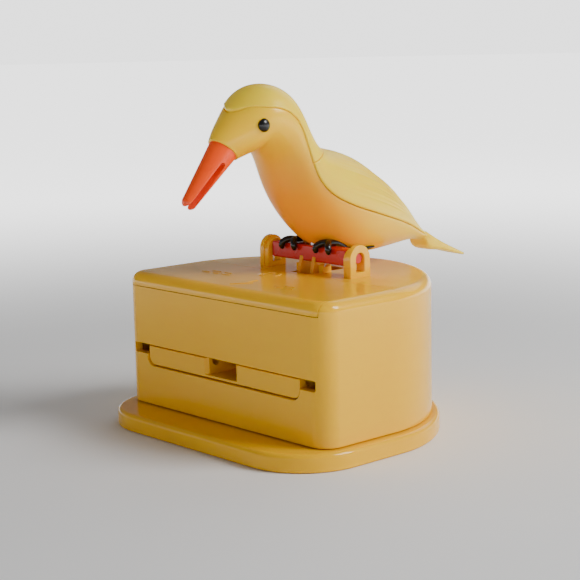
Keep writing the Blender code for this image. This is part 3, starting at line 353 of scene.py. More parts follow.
def roundedStack(name, plan, low, high, topRound, lowRound=0.0, steps=9):
    # a block over a plan, with its top edge rounded and its bottom edge too where lowRound is given
    levels = []
    if lowRound:
        turns = [math.pi / 2 * i / 4 for i in range(4)]
        levels += [(lowRound * (1 - math.sin(t)), low + lowRound * (1 - math.cos(t))) for t in turns]
    levels += [(0, low + lowRound), (0, high - topRound)]
    for i in range(1, steps + 1):
        turn = math.pi / 2 * i / steps
        levels.append((topRound * (1 - math.cos(turn)), high - topRound + topRound * math.sin(turn)))
    return rings(name, [[(x, y, z) for x, y in plan(inset)] for inset, z in levels])


def slotOutline(half, low, high, corner, grow=0.0):
    half, low, high, corner = half + grow, low - grow, high + grow, corner + grow
    points = arc((-half + corner, low + corner), corner, 180, 270, 8)
    points += arc((half - corner, low + corner), corner, 270, 360, 8)
    return points + [(half, high), (-half, high)]


def flaredCut(name, half, low, high, corner, lip):
    # a cutter through the front wall whose mouth is rounded by lip
    steps = ((-1.0 * mm, lip), (0.0, lip), (0.3 * lip, 0.4 * lip), (lip, 0.0), (boxSizes["wall"] + mm, 0.0))
    return rings(name, [[(x, frontY + depth, z) for x, z in slotOutline(half, low, high, corner, grow)]
                        for depth, grow in steps])


slotSizes = {"low": 14.9 * mm, "high": 20.35 * mm, "half": 29.2 * mm, "corner": 2.4 * mm, "lip": 0.28 * mm,
             "notchLow": 17.9 * mm, "notchHalf": 34.5 * mm, "notchCorner": 0.45 * mm}
leverSlot = {"half": 3.45 * mm, "front": -5.0 * mm, "back": 8.25 * mm}
ribSizes = {"inner": 3.45 * mm, "thick": 1.5 * mm, "half": 1.5 * mm, "saddle": 3.2 * mm}
bossSizes = {"radius": 3.6 * mm, "high": 8.0 * mm, "bore": 1.6 * mm, "boreHigh": 7.0 * mm}


def makeBoxShell():
    gap = boxSizes["seam"]
    shell = roundedStack("boxShell", boxPlan, shellLow.z, boxTop, boxSizes["topRound"])
    cavity = prismZ("tool", boxPlan(boxSizes["wall"]), shellLow.z - mm, boxTop - boxSizes["wall"])
    pocketHalf = lidHigh.x + gap
    pocket = slab("tool", (-pocketHalf, frontY - mm, boxTop - boxSizes["lip"] - gap),
                  (pocketHalf, lidHigh.y + gap, boxTop + mm))
    s = slotSizes
    tools = [cavity, pocket, flaredCut("tool", s["half"], s["low"], s["high"], s["corner"], s["lip"]),
             flaredCut("tool", s["notchHalf"], s["notchLow"], s["high"], s["notchCorner"], s["lip"])]
    carve(shell, tools)
    ribs = []
    r = ribSizes
    for way in (-1, 1):
        fall = math.degrees(math.asin(r["half"] / r["saddle"]))
        saddle = arc((perchY, perchZ), r["saddle"], -90 - fall, -90 + fall, 12)
        outline = [(perchY - r["half"], boxTop - mm)] + saddle + [(perchY + r["half"], boxTop - mm)]
        ends = sorted((way * r["inner"], way * (r["inner"] + r["thick"])))
        ribs.append(prismX("tool", outline, *ends))
    carve(shell, ribs, "UNION")
    v = leverSlot
    opening = slab("tool", (-v["half"], perchY + v["front"], boxTop - 4 * mm),
                   (v["half"], perchY + v["back"], boxTop + 0.01 * mm))
    carve(shell, [opening])
    bosses, holes = [], []
    b = bossSizes
    for spot in screwSpots():
        bosses.append(prismZ("tool", circle(spot, b["radius"], 32), shellLow.z, shellLow.z + b["high"]))
        holes.append(prismZ("tool", circle(spot, b["bore"], 24), shellLow.z - mm, shellLow.z + b["boreHigh"]))
    carve(shell, bosses, "UNION")
    carve(shell, holes)
    soften(shell, boxSizes["edge"], 2)
    smoothShade(shell)
    return place(shell, "case", "box_plastic", boxYellow, "box_shell")


baseSizes = {"corner": 17.0 * mm, "topRound": 1.2 * mm, "lowRound": 0.4 * mm, "bore": 1.6 * mm,
             # radius and height of each ring of the sunk seat round a screw's head
             "seat": ((4.1 * mm, -mm), (3.75 * mm, 0.0), (3.3 * mm, 0.45 * mm), (3.3 * mm, 2.4 * mm))}


def makeBase():
    s = baseSizes
    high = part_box("base_plate")[1]

    def plan(inset):
        return dOutline(high.x - inset, -high.y + inset, high.y - inset, s["corner"] - inset)
    base = roundedStack("basePlate", plan, 0.0, high.z, s["topRound"], s["lowRound"])
    tools = []
    for spot in screwSpots():
        tools.append(prismZ("tool", circle(spot, s["bore"], 24), -mm, high.z + mm))
        tools.append(rings("tool", [[(x, y, z) for x, y in circle(spot, radius, 40)]
                                    for radius, z in s["seat"]]))
    carve(base, tools)
    smoothShade(base)
    return place(base, "case", "box_plastic", boxYellow, "base_plate")


makeBoxShell()
makeBase()
print("box and base made")


lidSizes = {"thick": 2.0 * mm, "lugDeep": 4.0 * mm, "lugHalf": 3.0 * mm, "bore": 1.2 * mm}


def makeLid():
    s = lidSizes
    lipLow = boxTop - boxSizes["lip"]
    lid = roundedStack("frontLid", boxPlan, lipLow, boxTop, boxSizes["topRound"])
    keep = slab("tool", (lidLow.x, frontY - mm, lidLow.z - mm), (lidHigh.x, lidHigh.y, boxTop + mm))
    carve(lid, [keep], "INTERSECT")
    under = slab("tool", (lidLow.x - mm, frontY + s["thick"], lidLow.z - mm),
                 (lidHigh.x + mm, lidHigh.y + mm, boxTop - s["thick"]))
    carve(lid, [under])
    pinLow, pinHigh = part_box("lid_pin_left")
    y, z = (pinLow.y + pinHigh.y) / 2, (pinLow.z + pinHigh.z) / 2
    root = boxTop - s["thick"] + 0.3 * mm
    outline = [(y - s["lugHalf"], root), (y - s["lugHalf"], z)]
    outline += arc((y, z), s["lugHalf"], 180, 270, 10)[1:]
    outline += [(lidHigh.y, z - s["lugHalf"]), (lidHigh.y, root)]
    lugs = [prismX("tool", outline, *sorted((way * (lidHigh.x - s["lugDeep"]), way * lidHigh.x)))
            for way in (-1, 1)]
    carve(lid, lugs, "UNION")
    carve(lid, [prismX("tool", circle((y, z), s["bore"], 28), lidLow.x - mm, lidHigh.x + mm)])
    soften(lid, boxSizes["edge"], 2)
    smoothShade(lid)
    return place(lid, "case", "box_plastic", boxYellow, "front_lid")


def startTree(name, *inputs):            # a geometry tree and the wires of its named inputs
    tree = bpy.data.node_groups.new(name, "GeometryNodeTree")
    for title, kind in inputs:
        tree.interface.new_socket(title, in_out="INPUT", socket_type="NodeSocket" + kind)
    tree.interface.new_socket("Geometry", in_out="OUTPUT", socket_type="NodeSocketGeometry")
    given = tree.nodes.new("NodeGroupInput")
    return tree, [Wire(tree, given.outputs[i]) for i in range(len(inputs))]


def endTree(tree, copies, finish):       # copies made real, given their finish and sent out
    solid = copies.make("GeometryNodeRealizeInstances", {}, {"Geometry": copies})
    shown = solid.make("GeometryNodeSetMaterial", {}, {"Geometry": solid, "Material": finish})
    out = tree.nodes.new("NodeGroupOutput")
    tree.links.new(shown.socket, out.inputs[0])
    return tree


def markTree():
    # low round-ended bars set on the points of a mesh, each turned and stretched by its own attributes
    tree, wires = startTree("raisedMarks", ("Geometry", "Geometry"), ("Bar Width", "Float"),
                            ("Bar Rise", "Float"), ("Finish", "Material"))
    points, width, rise, finish = wires
    length = points.make("GeometryNodeInputNamedAttribute", {"data_type": "FLOAT"}, {"Name": "barLength"})
    turn = points.make("GeometryNodeInputNamedAttribute", {"data_type": "FLOAT"}, {"Name": "barTurn"})
    bar = points.make("GeometryNodeMeshCylinder", {}, {"Vertices": 20, "Radius": 0.5, "Depth": 1.0})
    spin = points.make("ShaderNodeCombineXYZ", {}, {"Z": turn})
    stretch = points.make("ShaderNodeCombineXYZ", {}, {"X": length, "Y": width, "Z": rise})
    bars = points.make("GeometryNodeInstanceOnPoints", {},
                       {"Points": points, "Instance": bar, "Rotation": spin, "Scale": stretch})
    return endTree(tree, bars, finish)


def growFromTree(obj, tree, values):     # runs a node tree on obj and keeps the plain mesh
    step = obj.modifiers.new("grow", "NODES")
    step.node_group = tree
    sockets = {s.name: s.identifier for s in tree.interface.items_tree if s.in_out == "INPUT"}
    for name, value in values.items():
        step[sockets[name]] = value
    return settle(obj)


markSizes = {"rise": 0.14 * mm, "wide": 0.75 * mm, "edge": 0.07 * mm,
             # middle x, middle y and length of each dash, in mm
             "dashes": ((-20.5, -12.5, 3.4), (-16.5, -12.5, 2.6), (-12.5, -12.5, 3.4), (-18.5, -10.4, 3.8),
                        (-14.0, -10.4, 2.8), (13.0, -17.0, 3.2), (16.8, -17.0, 2.6), (14.6, -14.9, 3.8)),
             "ringMiddle": (-3.6, -5.2), "ringRadius": 2.6, "ringDash": 1.6, "ringPlaces": 12,
             "ringDashes": 10,
             "arrow": ((0.0, -21.6), (3.1, -16.6), (1.1, -16.6), (1.1, -13.2),
                       (-1.1, -13.2), (-1.1, -16.6), (-3.1, -16.6))}


def makeLidMarks():
    # an arrow that says which way the bird dips, with plain dashes and a ring of dashes beside it
    s = markSizes
    marks = [(x, y, length, 0) for x, y, length in s["dashes"]]
    x, y = s["ringMiddle"]
    for i in range(s["ringDashes"]):
        turn = 2 * math.pi * i / s["ringPlaces"]
        marks.append((x + s["ringRadius"] * math.cos(turn), y + s["ringRadius"] * math.sin(turn),
                      s["ringDash"], turn + math.pi / 2))
    dashes = meshFrom("lidMarks", [(mark[0] * mm, mark[1] * mm, boxTop) for mark in marks], [])
    for name, column, unit in (("barLength", 2, mm), ("barTurn", 3, 1)):
        held = dashes.data.attributes.new(name, "FLOAT", "POINT")
        for i, mark in enumerate(marks):
            held.data[i].value = mark[column] * unit
    growFromTree(dashes, markTree(), {"Bar Width": s["wide"], "Bar Rise": 2 * s["rise"], "Finish": boxYellow})
    outline = [(x * mm, y * mm) for x, y in s["arrow"]]
    arrow = prismZ("lidArrow", outline, boxTop - 0.1 * mm, boxTop + s["rise"])
    for mark in (dashes, arrow):
        soften(mark, s["edge"], 2, 50)
        smoothShade(mark)
        place(mark, "case", "box_plastic", boxYellow)


traySizes = {"recess": 0.4 * mm, "depth": 13.6 * mm, "low": 15.2 * mm, "high": 20.05 * mm, "half": 28.9 * mm,
             "corner": 2.1 * mm, "pocketHalf": 5.3 * mm, "pocketDeep": 9.6 * mm, "pocketFloor": 0.7 * mm,
             "chamfer": 0.9 * mm, "grooveBack": 3.6 * mm, "grooveRadius": 1.15 * mm, "grooveDeep": 1.0 * mm,
             "armHalf": 3.9 * mm, "armHigh": 2.0 * mm, "endSlot": 1.85 * mm, "endWall": 1.6 * mm,
             "endFloor": 1.3 * mm, "edge": 0.1 * mm,
             # depth behind the front face and growth of each step of its rounded rim
             "rim": ((0.0, -0.22 * mm), (0.06 * mm, -0.07 * mm), (0.22 * mm, 0.0))}


def makeTray():
    s = traySizes
    front = frontY + s["recess"]
    tray = rings("dispensingTray", [[(x, front + depth, z) for x, z in
                                     slotOutline(s["half"], s["low"], s["high"], s["corner"], grow)]
                                    for depth, grow in (*s["rim"], (s["depth"], 0.0))])
    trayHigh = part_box("dispensing_tray")[1]
    end = trayHigh.y - s["endSlot"] - s["endWall"]       # middle of the slot for the rocker's end
    slotFront, slotBack = end - s["endSlot"], end + s["endSlot"]
    high = s["low"] + s["armHigh"]
    floor, top, root = high + s["endFloor"], trayHigh.z, front + s["depth"] - mm
    yoke = [(root, s["low"]), (trayHigh.y, s["low"]), (trayHigh.y, top), (slotBack, top), (slotBack, floor),
            (slotFront, floor), (slotFront, top), (slotFront - s["endWall"], top),
            (slotFront - s["endWall"], high), (root, high)]
    carve(tray, [prismX("tool", yoke, -s["armHalf"], s["armHalf"])], "UNION")
    low = s["low"] + s["pocketFloor"]
    loops = []
    for depth, grow in ((-mm, s["chamfer"] + mm), (s["chamfer"], 0.0), (s["pocketDeep"], 0.0)):
        half = s["pocketHalf"] + grow
        loops.append([(x, front + depth, z) for x, z in
                      ((-half, low), (half, low), (half, s["high"] + mm), (-half, s["high"] + mm))])
    carve(tray, [rings("tool", loops)])
    y, z, r = frontY + s["grooveBack"], s["high"] - s["grooveDeep"], s["grooveRadius"]
    groove = arc((y, z), r, 180, 360, 18) + [(y + r, s["high"] + mm), (y - r, s["high"] + mm)]
    carve(tray, [prismX("tool", groove, -s["half"] - mm, s["half"] + mm)])
    soften(tray, s["edge"], 2, 40)
    smoothShade(tray)
    return place(tray, "tray", "box_plastic", boxYellow, "dispensing_tray")


bracketSizes = {"half": 3.5 * mm, "rise": 3.4 * mm, "plate": 1.6 * mm, "cheekIn": 0.4 * mm,
                "cheekDrop": 0.8 * mm, "window": 1.45 * mm, "windowFoot": 1.3 * mm, "sunk": 0.6 * mm,
                "edge": 0.32 * mm}


def arch(half, top, foot, steps=28):
    return [(perchY - half, foot)] + arc((perchY, top - half), half, 180, 0, steps) + [(perchY + half, foot)]


def makeBracket(way, name, node):
    s = bracketSizes
    low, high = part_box(node)
    inner, outer = min(abs(low.x), abs(high.x)), max(abs(low.x), abs(high.x))
    foot, top = boxTop - s["sunk"], perchZ + s["rise"]
    bracket = prismX(name, arch(s["half"], top, foot), *sorted((way * (outer - s["plate"]), way * outer)))
    cheek = prismX("tool", arch(s["half"] - s["cheekIn"], top - s["cheekDrop"], foot),
                   *sorted((way * inner, way * (outer - s["plate"] / 2))))
    carve(bracket, [cheek], "UNION")
    window = arch(s["window"], perchZ + s["window"], boxTop + s["windowFoot"])
    carve(bracket, [prismX("tool", window, *sorted((way * (inner - mm), way * (outer + mm))))])
    soften(bracket, s["edge"], 4)
    smoothShade(bracket)
    return place(bracket, "case", "box_plastic", boxYellow, node)


makeLid()
makeLidMarks()
makeTray()
makeBracket(1, "perchBracketLeft", "perch_bracket_left")
makeBracket(-1, "perchBracketRight", "perch_bracket_right")
print("lid, tray and brackets made")


barSizes = {"side": 4.1 * mm, "edge": 0.4 * mm, "journal": 1.25 * mm, "leverLean": math.radians(-15.0),
            "leverLong": 7.0 * mm, "leverHalf": 1.8 * mm, "cheekInner": 1.7 * mm, "cheekOuter": 3.0 * mm,
            "pinBore": 1.3 * mm, "length": 27.6 * mm, "journalShort": 0.9 * mm, "leverEdge": 0.16 * mm}


def makeBar():
    s = barSizes
    side, half = s["side"] / 2, s["length"] / 2
    bar = slab("perchBar", (-half, perchY - side, perchZ - side), (half, perchY + side, perchZ + side))
    soften(bar, s["edge"], 4)
    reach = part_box("perch_bar")[1].x - s["journalShort"]
    carve(bar, [prismX("tool", circle((perchY, perchZ), s["journal"], 40), -reach, reach)], "UNION")
    smoothShade(bar, 35)
    place(bar, "bird", "orange_plastic", barRed, "perch_bar")
    lean = s["leverLean"]
    y, z = perchY + s["leverLong"] * math.sin(lean), perchZ - s["leverLong"] * math.cos(lean)
    turn = math.degrees(lean)
    outline = arc((y, z), s["leverHalf"], 180 + turn, 360 + turn, 20)
    outline += [(perchY + s["leverHalf"] * math.cos(lean), perchZ + s["leverHalf"] * math.sin(lean)),
                (perchY - s["leverHalf"] * math.cos(lean), perchZ - s["leverHalf"] * math.sin(lean))]
    past = s["cheekOuter"] + mm
    under = slab("tool", (-past, perchY - side, perchZ - side + 0.02 * mm),
                 (past, perchY + side, perchZ + 2 * side))
    bore = prismX("tool", circle((y, z), s["pinBore"], 32), -past, past)
    cheeks = [prismX(name, outline, *sorted((way * s["cheekInner"], way * s["cheekOuter"])))
              for name, way in (("leverCheeks", -1), ("tool", 1))]
    lever = carve(cheeks[0], cheeks[1:], "UNION")
    carve(lever, [under, bore])
    soften(lever, s["leverEdge"], 2, 40)
    smoothShade(lever, 35)
    place(lever, "bird", "bird_plastic", birdYellow)


makeBar()
print("perch made")


# back line (y, z), belly line (y, z) and half width of each section, in mm from the perch axis
birdSections = [(-32.2, 31.1, -25.8, 25.6, 4.1), (-30.3, 33.5, -24.0, 26.3, 5.6),
                (-26.9, 37.2, -22.6, 26.8, 7.2), (-22.9, 41.3, -20.5, 27.6, 8.6),
                (-17.9, 43.4, -19.3, 27.5, 9.4), (-11.0, 41.1, -16.3, 25.2, 9.8),
                (-6.3, 33.4, -13.6, 20.9, 10.2), (-1.3, 27.5, -10.4, 13.9, 11.2),
                (7.6, 25.0, -4.8, 6.1, 12.2), (18.5, 19.4, 5.0, -0.3, 11.8),
                (28.0, 12.0, 19.0, -1.3, 9.2), (35.6, 4.1, 31.5, -0.1, 5.6), (39.5, 1.8, 38.2, -0.6, 3.4)]
seamDegrees = [16, 16, 16, 55, 72, 79, 91, 102, 100, 88, 82, 74, 70]    # half angle of the covers' edge
tailSections = [(39.9, 1.7, 38.7, -0.8, 3.2), (41.5, 0.7, 40.3, -3.3, 3.6), (46.0, -1.7, 45.4, -4.2, 3.2),
                (51.6, -4.1, 51.2, -5.6, 2.2), (57.2, -6.3, 57.0, -6.9, 0.8)]
birdSizes = {"perSection": 13, "coverStart": 2.06, "coverEnd": 11.6, "creaseTop": 7.35, "creaseSide": 6.35,
             "coverGap": 0.04, "coverThick": 1.2 * mm, "coverStep": 0.4 * mm, "coverEdge": 0.42 * mm,
             "rebateGap": 0.16 * mm, "rebateLip": 0.22 * mm, "rebateSpare": 0.1 * mm, "rebateWall": 0.012,
             "muzzleRound": 0.3 * mm, "saddleGap": 0.12 * mm, "saddleEnd": 0.2 * mm, "least": 0.05 * mm,
             # the cap's front corner: how long it is, its first half angle and how fast that widens
             "frontRound": 0.42, "frontPower": 2.2, "frontDegrees": 20.0, "frontWiden": 24.0,
             "widenFrom": 2.0, "widenOver": 1.2}


def bends(values):                       # second derivatives of a natural cubic through evenly spaced values
    count = len(values)
    upper, right = [0.0] * count, [0.0] * count
    for i in range(1, count - 1):
        pull = 6 * (values[i + 1] - 2 * values[i] + values[i - 1])
        share = 4 - upper[i - 1]
        upper[i] = 1 / share
        right[i] = (pull - right[i - 1]) / share
    found = [0.0] * count
    for i in range(count - 2, 0, -1):
        found[i] = right[i] - upper[i] * found[i + 1]
    return found


def splineAt(values, curve, at):
    i = min(max(int(math.floor(at)), 0), len(values) - 2)
    b = at - i
    a = 1 - b
    return a * values[i] + b * values[i + 1] + ((a ** 3 - a) * curve[i] + (b ** 3 - b) * curve[i + 1]) / 6


class Skin:                              # a lofted skin through sections
    def __init__(self, sections):
        self.columns = [[row[i] * mm for row in sections] for i in range(5)]
        self.curves = [bends(c) for c in self.columns]

    def point(self, at, angle, offset=0.0, ahead=0.0):
        backY, backZ, bellyY, bellyZ, half = [splineAt(c, k, at) for c, k in zip(self.columns, self.curves)]
        middle = Vector(((backY + bellyY) / 2, (backZ + bellyZ) / 2))
        reach = Vector(((backY - bellyY) / 2, (backZ - bellyZ) / 2))
        up = reach.normalized()
        flat = middle + up * (max(reach.length + offset, birdSizes["least"]) * math.cos(angle))
        flat += Vector((-up.y, up.x)) * ahead
        wide = max(half + offset, birdSizes["least"])
        return Vector((wide * math.sin(angle), perchY + flat.x, perchZ + flat.y))


birdSkin = Skin(birdSections)
tailSkin = Skin(tailSections)
seamCurve = bends(seamDegrees)


def seamAngle(at, start=birdSizes["coverStart"]):
    # half angle of the covers' lower edge; the cap's front corner is round
    s = birdSizes
    widened = s["frontDegrees"] + s["frontWiden"] * min(max(0.0, at - s["widenFrom"]), s["widenOver"])
    full = max(splineAt(seamDegrees, seamCurve, at), widened)
    share = min(max((at - start) / s["frontRound"], 0.0), 1.0)
    return math.radians(full * (0.02 + 0.98 * math.sqrt(1 - (1 - share) ** s["frontPower"])))


def makeBody():
    s = birdSizes
    last = len(birdSections) - 1
    rebate = s["coverThick"] - s["coverStep"] + s["rebateSpare"]
    step = 2 * s["coverGap"]
    start, end = s["coverStart"] - step, s["coverEnd"] + step
    places = [i / s["perSection"] for i in range(last * s["perSection"] + 1)]
    places = [p for p in places if abs(p - start) > 0.03 and abs(p - end) > 0.03]
    places = sorted(places + [start, start - s["rebateWall"], end, end + s["rebateWall"]])

    def halfRing(at):
        covered = start <= at <= end
        half = splineAt(birdSkin.columns[4], birdSkin.curves[4], at)
        edge = seamAngle(at, start) + s["rebateGap"] / half
        depth = -rebate if covered else 0.0
        ring = [(edge * i / 22, depth) for i in range(23)]
        lip = s["rebateLip"]
        ring += [(edge + lip * a / half, -lip * b if covered else 0.0)
                 for a, b in ((0.01, 1.0), (0.12, 0.5), (0.4, 0.13), (1.0, 0.0))]
        first = edge + lip / half
        ring += [(first + (math.pi - first) * i / 42, 0.0) for i in range(1, 43)]
        return ring

    loops = []
    for at in places:
        ring = halfRing(at)
        ring += [(-a, d) for a, d in ring[-2:0:-1]]
        loops.append([birdSkin.point(at, a, d) for a, d in ring])
    angles = [a for a, d in halfRing(0.0)]
    angles += [-a for a in angles[-2:0:-1]]
    nose = []
    r = s["muzzleRound"]
    for i in range(4, 0, -1):            # the muzzle's rim is rounded towards the beak
        turn = math.pi / 2 * i / 4
        nose.append([birdSkin.point(0.0, a, -r * (1 - math.cos(turn)), r * math.sin(turn)) for a in angles])
    body = rings("birdBody", nose + loops)
    side = barSizes["side"] / 2 + s["saddleGap"]
    half = barSizes["length"] / 2 + s["saddleEnd"]
    saddle = slab("tool", (-half, perchY - side, perchZ - side), (half, perchY + side, perchZ + side))
    carve(body, [saddle])
    smoothShade(body, 38, False)
    return place(body, "bird", "bird_plastic", birdYellow, "bird_body")


def sectionLength(at):                   # length of the skin from the back line down to the seam
    edge = seamAngle(at)
    points = [birdSkin.point(at, edge * i / 8) for i in range(9)]
    return sum((b - a).length for a, b in zip(points, points[1:]))


def coverPlate(name, startAt, endAt, relief, rows, columns, startEdge, endEdge):
    # a curved plate over the back with rounded edges; relief adds to its outer side
    s = birdSizes
    fine = [0.0, 0.004, 0.011, 0.022, 0.038, 0.06]
    half = fine + [0.06 + 0.94 * (i / columns) for i in range(1, columns + 1)]
    shares = [-(1 - v) for v in half] + [1 - v for v in half[-2::-1]]
    ends = [0.0, 0.003, 0.008, 0.015, 0.025, 0.04]
    along = ends + [0.04 + 0.92 * i / rows for i in range(1, rows)] + [1 - v for v in ends[::-1]]
    ridge = [birdSkin.point(startAt(0) + (endAt(0) - startAt(0)) * i / 20, 0.0) for i in range(21)]
    backLength = sum((b - a).length for a, b in zip(ridge, ridge[1:]))
    outer, inner = [], []
    for t in along:
        for share in shares:
            first, last = startAt(abs(share)), endAt(abs(share))
            at = first + (last - first) * t
            angle = seamAngle(at) * share
            sideGap = (1 - abs(share)) * sectionLength(at)
            lift = s["coverStep"]
            for gap, radius in ((sideGap, s["coverEdge"]), (t * backLength, startEdge),
                                ((1 - t) * backLength, endEdge)):
                if gap < radius:
                    lift -= radius - math.sqrt(radius ** 2 - (radius - gap) ** 2)
            lift = max(lift, s["coverStep"] - s["coverEdge"] * 1.2)
            lift += relief(at, abs(share)) * min(1.0, sideGap / mm)
            outer.append(birdSkin.point(at, angle, lift))
            inner.append(birdSkin.point(at, angle, s["coverStep"] - s["coverThick"]))
    wide, count = len(shares), len(outer)
    faces = gridFaces(len(along), wide, False)
    faces += [tuple(v + count for v in face[::-1]) for face in faces]
    rim = [c for c in range(wide)] + [r * wide + wide - 1 for r in range(1, len(along))]
    rim += [(len(along) - 1) * wide + c for c in range(wide - 2, -1, -1)]
    rim += [r * wide for r in range(len(along) - 2, 0, -1)]
    for a, b in zip(rim, rim[1:] + rim[:1]):
        faces.append((b, a, a + count, b + count))
    plate = tidyMesh(meshFrom(name, outer + inner, faces), 0.000001)
    return smoothShade(plate, 50, False)


coverSizes = {"featherStart": 7.3, "featherEnd": 11.2, "featherSide": 0.95, "featherCount": 34,
              "featherDrift": 1.1, "featherRise": 0.15 * mm, "browRise": 0.14 * mm, "browLong": 0.5,
              "crownDrop": 0.15 * mm, "crownAt": 4.0, "crownReach": 1.6,
              # rows and columns of each cover, then the roundness of its front and back edges
              "cap": (72, 30, 0.42 * mm, 0.2 * mm), "wing": (70, 100, 0.3 * mm, 0.42 * mm)}


def featherLines(at, share):             # faint ridges on the wing that draw together towards the tail
    s = coverSizes
    start, end = s["featherStart"], s["featherEnd"]
    if not start < at < end:
        return 0.0
    along = math.sin(math.pi * (at - start) / (end - start)) ** 0.8
    across = max(0.0, math.sin(math.pi * min(share / s["featherSide"], 1.0)))
    wave = math.sin(share * s["featherCount"] + s["featherDrift"] * (at - start))
    return s["featherRise"] * along * across * wave ** 5


def browSwell(at, share):                # the cap's front lip stands prouder and its crown a little lower
    s = coverSizes
    front = max(0.0, 1 - (at - birdSizes["coverStart"]) / s["browLong"]) * max(0.0, 1 - share ** 2)
    crown = max(0.0, 1 - ((at - s["crownAt"]) / s["crownReach"]) ** 2) ** 2
    return s["browRise"] * front - s["crownDrop"] * crown


def makeCovers():
    s = birdSizes

    def crease(share):
        return s["creaseTop"] + (s["creaseSide"] - s["creaseTop"]) * share ** 0.8
    cap = coverPlate("crestCap", lambda v: s["coverStart"], lambda v: crease(v) - s["coverGap"] / 3,
                     browSwell, *coverSizes["cap"])
    place(cap, "bird", "cover_plastic", coverYellow, "crest_cap")
    wing = coverPlate("wingCover", lambda v: crease(v) + s["coverGap"] / 3, lambda v: s["coverEnd"],
                      featherLines, *coverSizes["wing"])
    place(wing, "bird", "cover_plastic", coverYellow, "wing_cover")


makeBody()
makeCovers()
print("body, cap and wing made")


beakSizes = {"radius": 3.7 * mm, "tip": 1.9 * mm, "length": 16.2 * mm, "pitch": math.radians(47.5),
             "slot": 1.5 * mm, "solid": 3.9 * mm, "slotDrop": 0.3 * mm, "slotFlare": 1.25, "past": 4.0 * mm,
             "rootOut": 0.3 * mm, "tipRound": 0.87, "edge": 0.3 * mm,
             # share of the radius and reach out of the muzzle of each ring of its rounded root
             "root": ((0.93, 0.12 * mm), (0.985, 0.17 * mm))}


def makeBeak():
    s = beakSizes
    top, low = birdSkin.point(0, 0), birdSkin.point(0, math.pi)
    root = (top + low) / 2
    way = Vector((0, -math.cos(s["pitch"]), -math.sin(s["pitch"])))
    faceUp = (top - low).normalized()
    faceOut = Vector((0, -faceUp.z, faceUp.y))
    if faceOut.dot(way) < 0:
        faceOut = -faceOut
    cross = Vector((0, way.z, -way.y))
    if cross.z < 0:
        cross = -cross
    loops = []
    count, steps = 48, 56

    def loop(middle, up, radius):
        return [middle + up * (radius * math.cos(a)) + Vector((radius * math.sin(a), 0, 0))
                for a in (2 * math.pi * i / steps for i in range(steps))]
    for share, ahead in s["root"]:
        loops.append(loop(root + faceOut * ahead, faceUp, s["radius"] * share))
    for r in range(count + 1):
        share = r / count
        straight = min(share * 3, 1.0)
        straight = straight * straight * (3 - 2 * straight)
        up = (faceUp * (1 - straight) + cross * straight).normalized()
        middle = root + faceOut * (s["rootOut"] * (1 - straight)) + way * (s["length"] * share)
        loops.append(loop(middle, up, s["radius"] + (s["tip"] - s["radius"]) * share))
    for i in range(1, 11):
        turn = math.pi / 2 * i / 10.5
        ahead = s["length"] + s["tip"] * s["tipRound"] * math.sin(turn)
        loops.append(loop(root + way * ahead, cross, s["tip"] * math.cos(turn)))
    beak = rings("beakPiece", loops)
    reach = s["slot"] / 2
    outline = []                                                  # round inner end, open at the tip
    for i in range(13):
        turn = math.pi / 2 + math.pi * i / 12
        outline.append((s["solid"] + reach + reach * math.cos(turn), reach * math.sin(turn)))
    far = s["length"] + s["past"]
    outline += [(far, -reach * s["slotFlare"]), (far, reach * s["slotFlare"])]
    spots = [root + way * along + cross * (across - s["slotDrop"]) for along, across in outline]
    wide = 6.0 * mm
    carve(beak, [prismX("tool", [(spot.y, spot.z) for spot in spots], -wide, wide)])
    soften(beak, s["edge"], 4, 45)
    smoothShade(beak, 40)
    return place(beak, "bird", "orange_plastic", beakOrange, "beak")


tailSizes = {"steps": 64, "perSection": 10, "flatTop": 0.6, "flatSide": 0.5, "rootShrink": 0.86,
             "rootReach": (0, -1.4 * mm, 0.75 * mm), "way": (0, 0.9, -0.42)}


def makeTail():
    s = tailSizes
    steps = s["steps"]
    last = (len(tailSections) - 1) * s["perSection"]

    def wedge(at):                       # flat-topped section with soft corners
        high, low = tailSkin.point(at, 0.0), tailSkin.point(at, math.pi)
        half = splineAt(tailSkin.columns[4], tailSkin.curves[4], at)
        loop = []
        for k in range(steps):
            c, v = math.cos(2 * math.pi * k / steps), math.sin(2 * math.pi * k / steps)
            spot = (high + low) / 2 + (high - low) / 2 * math.copysign(abs(c) ** s["flatTop"], c)
            loop.append(Vector((half * math.copysign(abs(v) ** s["flatSide"], v), spot.y, spot.z)))
        return loop
    loops = [wedge(r / s["perSection"]) for r in range(last + 1)]
    middle = sum(loops[-1], Vector()) / steps
    way = Vector(s["way"])
    blunt = [middle + (p - middle) * 0.8 + way * (0.16 * mm) for p in loops[-3]]    # the tip's rounded end
    point = [middle + (p - middle) * 0.45 + way * (0.26 * mm) for p in blunt]
    root = sum(loops[0], Vector()) / steps
    start = [root + (p - root) * s["rootShrink"] + Vector(s["rootReach"]) for p in loops[0]]
    tail = rings("tailPiece", [start] + loops + [blunt, point])
    smoothShade(tail, 50, False)
    return place(tail, "bird", "bird_plastic", coverYellow, "tail")


eyeSizes = {"radius": 1.66 * mm, "dome": 1.05 * mm, "out": 0.15 * mm,
            # share of the radius and height of each ring below the dome
            "stem": ((0.9, -1.2 * mm), (0.94, -0.1 * mm), (1.0, 0.0))}


